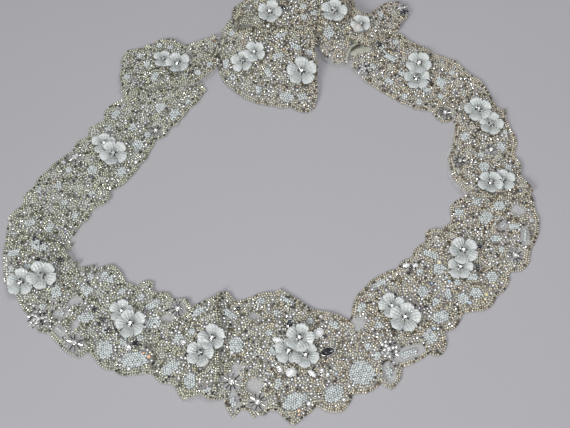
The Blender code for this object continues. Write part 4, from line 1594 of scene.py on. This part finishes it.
def make_flower_piece(name, group, tree):
    pieces = Pieces()
    leaf_slots = petal_slots()
    for number, flower in enumerate(group):
        seat = seat_flower(tree, flower)
        unit = seat @ Matrix.Scale(MM, 4)
        for petal in range(PETALS):
            pieces.add(petal_shape(petal, number * 1.7 + flower.turn), unit, *leaf_slots)
        pieces.add(STEM, unit, ROOT)
        up = (seat.to_3x3() @ Vector((0, 0, 1))).normalized()
        heart = unit @ Matrix.Translation((0, 0, HEART_LIFT)) @ Matrix.Scale(HEART, 4)
        # The heart's dark facets are painted dark reflections
        pieces.add(STONE_SHAPE, heart, *HEART_FACETS)
        pieces.add(CUP_SHAPE, heart, HEART_DARK, HEART_SILVER)
        for k in range(8):
            way = pi / 8 + k * pi / 4
            prong = Matrix.Translation((1.04 * cos(way), 1.04 * sin(way), 0.1))
            slot = HEART_DARK if k % 2 else HEART_CRYSTAL
            pieces.add(CLAW, heart @ prong @ Matrix.Scale(PRONG_SIZE, 4), slot)
        flower_spots.append(seat.translation.copy())
        take(seat.translation - up * 1.5 * MM, FLOWER_RADIUS * flower.size * FLOWER_CLEAR)
    return add_object(name, pieces.mesh(name, [slot in PETAL_SLOTS for slot in pieces.slots]))


# Materials, the studio and the camera. From left to right across the loop, the beads' colour turns
# from cool to warm between two places
COOL_SIDE = -0.12
WARM_SIDE = 0.06
BUMP_DEPTH = 0.0002
FLOOR = 8.0
FLOOR_DROP = -0.0002
SKY = (
    (0.0, (0.10, 0.10, 0.11)),
    (0.25, (0.22, 0.22, 0.24)),
    (0.62, (0.72, 0.72, 0.76)),
    (1.0, (0.95, 0.95, 1.0)),
)
# Each light: its name, place, aim, size in metres, power, colour and spread in degrees
LIGHTS = (
    ("key", (-1.1, -1.5, 1.3), (0.08, -0.12, 0), (0.9, 0.9), 3.9, (1.0, 1.0, 0.98), 60.0),
    ("top", (0.3, 0.5, 1.6), (0, -0.1, 0), (1.6, 1.0), 7.0, (0.96, 0.98, 1.0), 180.0),
    ("glint", (0.5, -0.7, 1.6), (0, 0, 0), (0.1, 0.1), 4.0, (1.0, 0.99, 0.96), 180.0),
)


def feed(tree, node, inputs):
    """Sets a node's inputs to plain values, or links them to the sockets given."""
    for name, value in inputs.items():
        if isinstance(value, bpy.types.NodeSocket):
            tree.links.new(value, node.inputs[name])
        else:
            node.inputs[name].default_value = value


def new_node(tree, kind, inputs, **settings):
    node = tree.nodes.new("ShaderNode" + kind)
    for name, value in settings.items():
        setattr(node, name, value)
    feed(tree, node, inputs)
    return node


def new_material(name):
    material = bpy.data.materials.new(name)
    material.use_nodes = True
    tree = material.node_tree
    return material, tree, tree.nodes["Principled BSDF"], new_node(tree, "TexCoord", {})


def add_noise(tree, where, scale, detail=2.0):
    return new_node(tree, "TexNoise", {"Scale": scale, "Detail": detail, "Vector": where}).outputs["Fac"]


def add_ramp(tree, source, stops):
    ramp = new_node(tree, "ValToRGB", {"Fac": source})
    elements = ramp.color_ramp.elements
    while len(elements) < len(stops):
        elements.new(0.5)
    for element, (at, colour) in zip(elements, stops):
        element.position = at
        element.color = (*colour, 1.0)
    return ramp.outputs["Color"]


def add_bump(tree, shader, source, strength):
    bump = new_node(tree, "Bump", {"Strength": strength, "Distance": BUMP_DEPTH, "Height": source})
    feed(tree, shader, {"Normal": bump.outputs["Normal"]})


def add_vary(tree, fac, colour):
    """A ramp from a darker to a lighter tone of a colour."""
    dark = [c * 0.78 for c in colour]
    light = [min(1.0, c * 1.2) for c in colour]
    return add_ramp(tree, fac, ((0.34, dark), (0.66, light)))


def bead_material(name, cool, warm, roughness, metallic, coat=0.0):
    """Beads whose colour varies from one to the next, cooler to the left and warmer to the right."""
    material, tree, shader, place = new_material(name)
    where = place.outputs["Object"]
    fac = add_noise(tree, where, 500.0, 1.0)
    parts = new_node(tree, "SeparateXYZ", {"Vector": where})
    across = new_node(
        tree, "MapRange", {"From Min": COOL_SIDE, "From Max": WARM_SIDE, "Value": parts.outputs["X"]}
    )
    tones = {6: add_vary(tree, fac, cool), 7: add_vary(tree, fac, warm)}
    mix = new_node(tree, "Mix", {"Factor": across.outputs["Result"], **tones}, data_type="RGBA")
    feed(tree, shader, {
        "Base Color": mix.outputs[2], "Roughness": roughness, "Metallic": metallic,
        "Coat Weight": coat, "Coat Roughness": 0.06,
    })
    return material


def plain_material(name, low, high, scale, roughness, metallic, coat=0.0, bump=0.0):
    material, tree, shader, place = new_material(name)
    fac = add_noise(tree, place.outputs["Object"], scale)
    feed(tree, shader, {
        "Base Color": add_ramp(tree, fac, ((0.35, low), (0.65, high))), "Roughness": roughness,
        "Metallic": metallic, "Coat Weight": coat, "Coat Roughness": 0.05,
    })
    if bump:
        add_bump(tree, shader, fac, bump)
    return material


def net_material():
    """Fine tulle: pale threads round small open cells."""
    material, tree, shader, place = new_material("tulle")
    where = place.outputs["Object"]
    inputs = {"Scale": 900.0, "Randomness": 0.35, "Vector": where}
    threads = new_node(tree, "TexVoronoi", inputs, feature="DISTANCE_TO_EDGE").outputs["Distance"]
    fac = add_noise(tree, where, 60.0)
    feed(tree, shader, {
        "Alpha": add_ramp(tree, threads, ((0.05, (0.28,) * 3), (0.11, (0.02,) * 3))),
        "Base Color": add_ramp(tree, fac, ((0.3, (0.74, 0.75, 0.70)), (0.7, (0.84, 0.85, 0.82)))),
        "Roughness": 0.7, "Sheen Weight": 0.2,
    })
    add_bump(tree, shader, threads, 0.3)
    return material


def make_world():
    """A soft studio: a brighter ceiling, and low, wide patches of light and dark for stones to catch."""
    world = bpy.data.worlds.new("soft studio")
    world.use_nodes = True
    bpy.context.scene.world = world
    tree = world.node_tree
    where = new_node(tree, "TexCoord", {}).outputs["Generated"]
    height = new_node(tree, "SeparateXYZ", {"Vector": where}).outputs["Z"]
    patches = add_noise(tree, where, 2.6, 0.0)
    mix = new_node(tree, "Mix", {"Factor": 1.0}, data_type="RGBA", blend_type="MULTIPLY")
    feed(tree, mix, {
        6: add_ramp(tree, height, SKY),
        7: add_ramp(tree, patches, ((0.38, (0.30,) * 3), (0.60, (1.0,) * 3))),
    })
    feed(tree, tree.nodes["Background"], {"Color": mix.outputs[2], "Strength": 0.62})


def add_light(name, place, aim, size, power, colour, spread):
    data = bpy.data.lights.new(name, "AREA")
    data.shape = "RECTANGLE"
    data.size, data.size_y = size
    data.energy = power
    data.color = colour
    data.spread = radians(spread)
    light = add_object(name, data)
    light.location = place
    light.rotation_euler = (Vector(aim) - Vector(place)).to_track_quat("-Z", "Y").to_euler()


def make_stage():
    half = FLOOR / 2
    corners = [(-half, -half, 0), (half, -half, 0), (half, half, 0), (-half, half, 0)]
    floor = add_object("floor", new_mesh("floor", corners, [(0, 1, 2, 3)]))
    floor.location = (0, 0, FLOOR_DROP)
    floor.data.materials.append(
        plain_material("pale floor", (0.455, 0.45, 0.475), (0.465, 0.46, 0.485), 3.0, 0.6, 0.0)
    )
    make_world()
    for light in LIGHTS:
        add_light(*light)


def make_camera():
    data = bpy.data.cameras.new("camera")
    data.sensor_width = SENSOR
    data.lens = SENSOR * FOCAL / IMAGE[0]
    data.clip_start = 0.01
    camera = add_object("camera", data)
    camera.location = LOOK_FROM
    camera.rotation_euler = (LOOK_AT - LOOK_FROM).to_track_quat("-Z", "Y").to_euler()
    bpy.context.scene.camera = camera


# The heap's layers of net
def heap_point(turn, inset, z):
    swell = HEAP_PETAL * abs(cos(HEAP_PETALS * turn / 2)) - inset
    for corner in HEAP_CORNERS:
        swell += corner.reach * math.exp(-((turn - corner.turn) / corner.width) ** 2)
    x = HEAP_MIDDLE[0] + (HEAP_HALF[0] + swell) * cos(turn)
    y = HEAP_MIDDLE[1] + (HEAP_HALF[1] + swell) * sin(turn)
    return Vector((x, y, z)) * MM - LAYOUT_MIDDLE


def heap_fold(turn, inset):
    """Soft troughs and ridges on the heap's upper faces, in millimetres."""
    fade = min(1.0, inset / 10)
    return fade * (0.55 * sin(3 * turn + 0.4) + 0.4 * sin(5 * turn + 0.13 * inset))


def ring_strip(outer_z, insets, top):
    """Rings of the heap's outline, from the outermost inwards, rising to the top."""
    over = []
    for number, inset in enumerate(insets):
        rise = (top - outer_z) * (number / (len(insets) - 1)) ** 0.6
        turns = [tau * k / HEAP_SIDES for k in range(HEAP_SIDES)]
        over.append([heap_point(turn, inset, outer_z + rise + heap_fold(turn, inset)) for turn in turns])
    return over


def heap_layer_mesh(layers):
    points = []
    faces = []
    for over, is_full in layers:
        start = len(points)
        count = len(over) * HEAP_SIDES
        flat = [p for ring in over for p in ring]
        points += flat + [p - Vector((0, 0, NET)) for p in flat]
        for quad in ring_quads(len(over), HEAP_SIDES, start):
            faces += [quad, tuple(count + v for v in reversed(quad))]
        inner = (len(over) - 1) * HEAP_SIDES + start
        for k in range(HEAP_SIDES):
            after = (k + 1) % HEAP_SIDES
            faces.append((start + after, start + k, count + start + k, count + start + after))
            if not is_full:
                faces.append((inner + k, inner + after, count + inner + after, count + inner + k))
        if is_full:
            faces.append(tuple(inner + k for k in range(HEAP_SIDES)))
            faces.append(tuple(count + inner + k for k in reversed(range(HEAP_SIDES))))
    mesh = new_mesh("net_heap", points, faces)
    mesh.shade_smooth()
    return mesh


def make_heap():
    """The heap's folds: a stack of layers of net, each with its own scalloped edge."""
    layers = []
    for layer in HEAP_LAYERS:
        low = layer.low + HEAP_LIFT
        is_full = layer is HEAP_LAYERS[-1]
        if is_full:
            over = ring_strip(low + 0.4, [layer.inset + k for k in HEAP_TOP_INSETS], HEAP_TOP)
        else:
            over = ring_strip(low, [layer.inset + k for k in HEAP_INSETS], low + 0.2)
        layers.append((over, is_full))
    sheets = []
    rim = HEAP_RIM * MM
    for number, (over, is_full) in enumerate(layers):
        top = [p for ring in over for p in ring]
        faces = ring_quads(len(over), HEAP_SIDES)
        if is_full:
            faces.append(tuple((len(over) - 1) * HEAP_SIDES + k for k in range(HEAP_SIDES)))
        name = "heap_core" if is_full else f"heap_{number}"
        edge = list(zip(over[0] + over[0][:1], over[1] + over[1][:1]))
        sheets.append(Sheet(name, top, faces, [(edge, rim)]))
    return add_object("net_heap_core", heap_layer_mesh(layers)), sheets


# The whole sash
make_camera()
make_stage()
tulle = net_material()
BEAD_MATERIALS = (
    bead_material("champagne bead", (0.74, 0.76, 0.59), (0.82, 0.75, 0.59), 0.32, 0.2, 0.3),
    bead_material("bright bead", (0.84, 0.86, 0.77), (0.88, 0.84, 0.74), 0.22, 0.5),
    bead_material("deep bead", (0.30, 0.29, 0.20), (0.32, 0.26, 0.17), 0.22, 0.4, 0.4),
    bead_material("dark bead", (0.07, 0.07, 0.055), (0.08, 0.065, 0.05), 0.2, 0.2, 0.3),
    bead_material("milk bead", (0.66, 0.69, 0.60), (0.68, 0.66, 0.56), 0.3, 0.0, 0.5),
    bead_material("white bead", (0.69, 0.735, 0.73), (0.69, 0.735, 0.73), 0.4, 0.0, 0.15),
)
GEM_MATERIALS = (
    plain_material("crystal", (0.92, 0.94, 0.96), (0.99, 0.98, 0.96), 300.0, 0.05, 0.65, 0.6),
    plain_material("smoky stone", (0.025, 0.027, 0.03), (0.09, 0.095, 0.10), 300.0, 0.05, 0.7),
    plain_material("silver setting", (0.5, 0.49, 0.46), (0.75, 0.74, 0.7), 400.0, 0.22, 1.0),
    plain_material("pearl", (0.66, 0.64, 0.60), (0.74, 0.71, 0.67), 200.0, 0.22, 0.05, 0.8),
    plain_material("bright bugle", (0.72, 0.71, 0.68), (0.9, 0.89, 0.86), 300.0, 0.12, 1.0),
    plain_material("dark bugle", (0.08, 0.08, 0.07), (0.2, 0.19, 0.17), 300.0, 0.12, 0.9),
    plain_material("tinted stone", (0.95, 0.62, 0.36), (0.50, 0.66, 0.95), 90.0, 0.05, 1.0),
    # Painted glints: the colours of glints, given to small stones
    plain_material("orange stone", (0.95, 0.50, 0.26), (1.0, 0.62, 0.40), 200.0, 0.06, 0.5, 0.8),
    plain_material("yellow stone", (0.95, 0.84, 0.42), (1.0, 0.92, 0.60), 200.0, 0.06, 0.5, 0.8),
    plain_material("blue stone", (0.50, 0.68, 0.92), (0.66, 0.82, 1.0), 200.0, 0.06, 0.5, 0.8),
    # Painted highlight: plain white standing for the glare of clear stones
    plain_material("white facet", (0.93, 0.95, 0.95), (0.98, 0.99, 0.99), 200.0, 0.25, 0.0, 1.0),
    plain_material("hem", (0.44, 0.45, 0.38), (0.52, 0.53, 0.45), 300.0, 0.75, 0.0, 0.0, 0.3),
    plain_material("hem in shade", (0.07, 0.062, 0.04), (0.10, 0.09, 0.06), 300.0, 0.9, 0.0),
)
FLOWER_MATERIALS = (
    plain_material("petal tip", (0.64, 0.68, 0.67), (0.76, 0.79, 0.78), 260.0, 0.3, 0.0, 0.35, 0.15),
    GEM_MATERIALS[CRYSTAL],
    GEM_MATERIALS[SILVER],
    GEM_MATERIALS[SMOKY],
    plain_material("petal middle", (0.52, 0.56, 0.55), (0.64, 0.67, 0.66), 260.0, 0.3, 0.0, 0.35, 0.15),
    plain_material("petal root", (0.36, 0.39, 0.37), (0.48, 0.51, 0.49), 260.0, 0.35, 0.0, 0.3, 0.15),
)

sheets = []
lay_out_outlines()
nets = {}
for stretch in STRETCHES:
    nets[stretch.name], sheet = make_sheet(stretch)
    sheets.append(sheet)
nets["heap_core"], heap_sheets = make_heap()
sheets += heap_sheets
cover_trees.update((sheet.name, sheet.tree) for sheet in sheets)

ground = ground_tree()
flowers = {name: make_flower_piece(f"moulded_{name}", group, ground) for name, group in FLOWERS.items()}

gems = {sheet.name: Pieces() for sheet in sheets}
lay_hems(sheets, gems)
lay_stones(sheets, gems)
add_cells(sheets)
for sheet in sheets:
    width = (sheet.high - sheet.low) / MM
    spots = int(width.x * width.y / TRY_AREA)
    lay_edge_rows(sheet)
    if sheet.name.startswith("heap_") and sheet.name != "heap_core":
        fill_sheet(sheet, HEAP_FILL)
        continue
    add_plain_cells(sheet, spots)
    lay_small_stones(sheet, gems[sheet.name], spots // 2)
    lay_cells(sheet)
    for fill in FILLS:
        fill_sheet(sheet, fill)
for sheet in sheets:
    if sheet.name not in nets:
        beads["heap_core"] += beads.pop(sheet.name, [])


def dress(thing, materials):
    for material in materials:
        thing.data.materials.append(material)
    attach(thing, "root")
    return thing


for name, net in nets.items():
    dress(net, [tulle])
    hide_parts(name)
    strung = add_object(f"beads_{name}", bead_mesh(f"beads_{name}", beads[name]))
    sewn = [dress(strung, BEAD_MATERIALS)]
    if gems[name].points:
        stones = add_object(f"stones_{name}", gems[name].mesh(f"stones_{name}"))
        sewn.append(dress(stones, GEM_MATERIALS))
    area = sum(p.area for p in net.data.polygons) / 2
for name, thing in flowers.items():
    dress(thing, FLOWER_MATERIALS)
    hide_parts(name)

bpy.context.scene.view_settings.view_transform = "Standard"
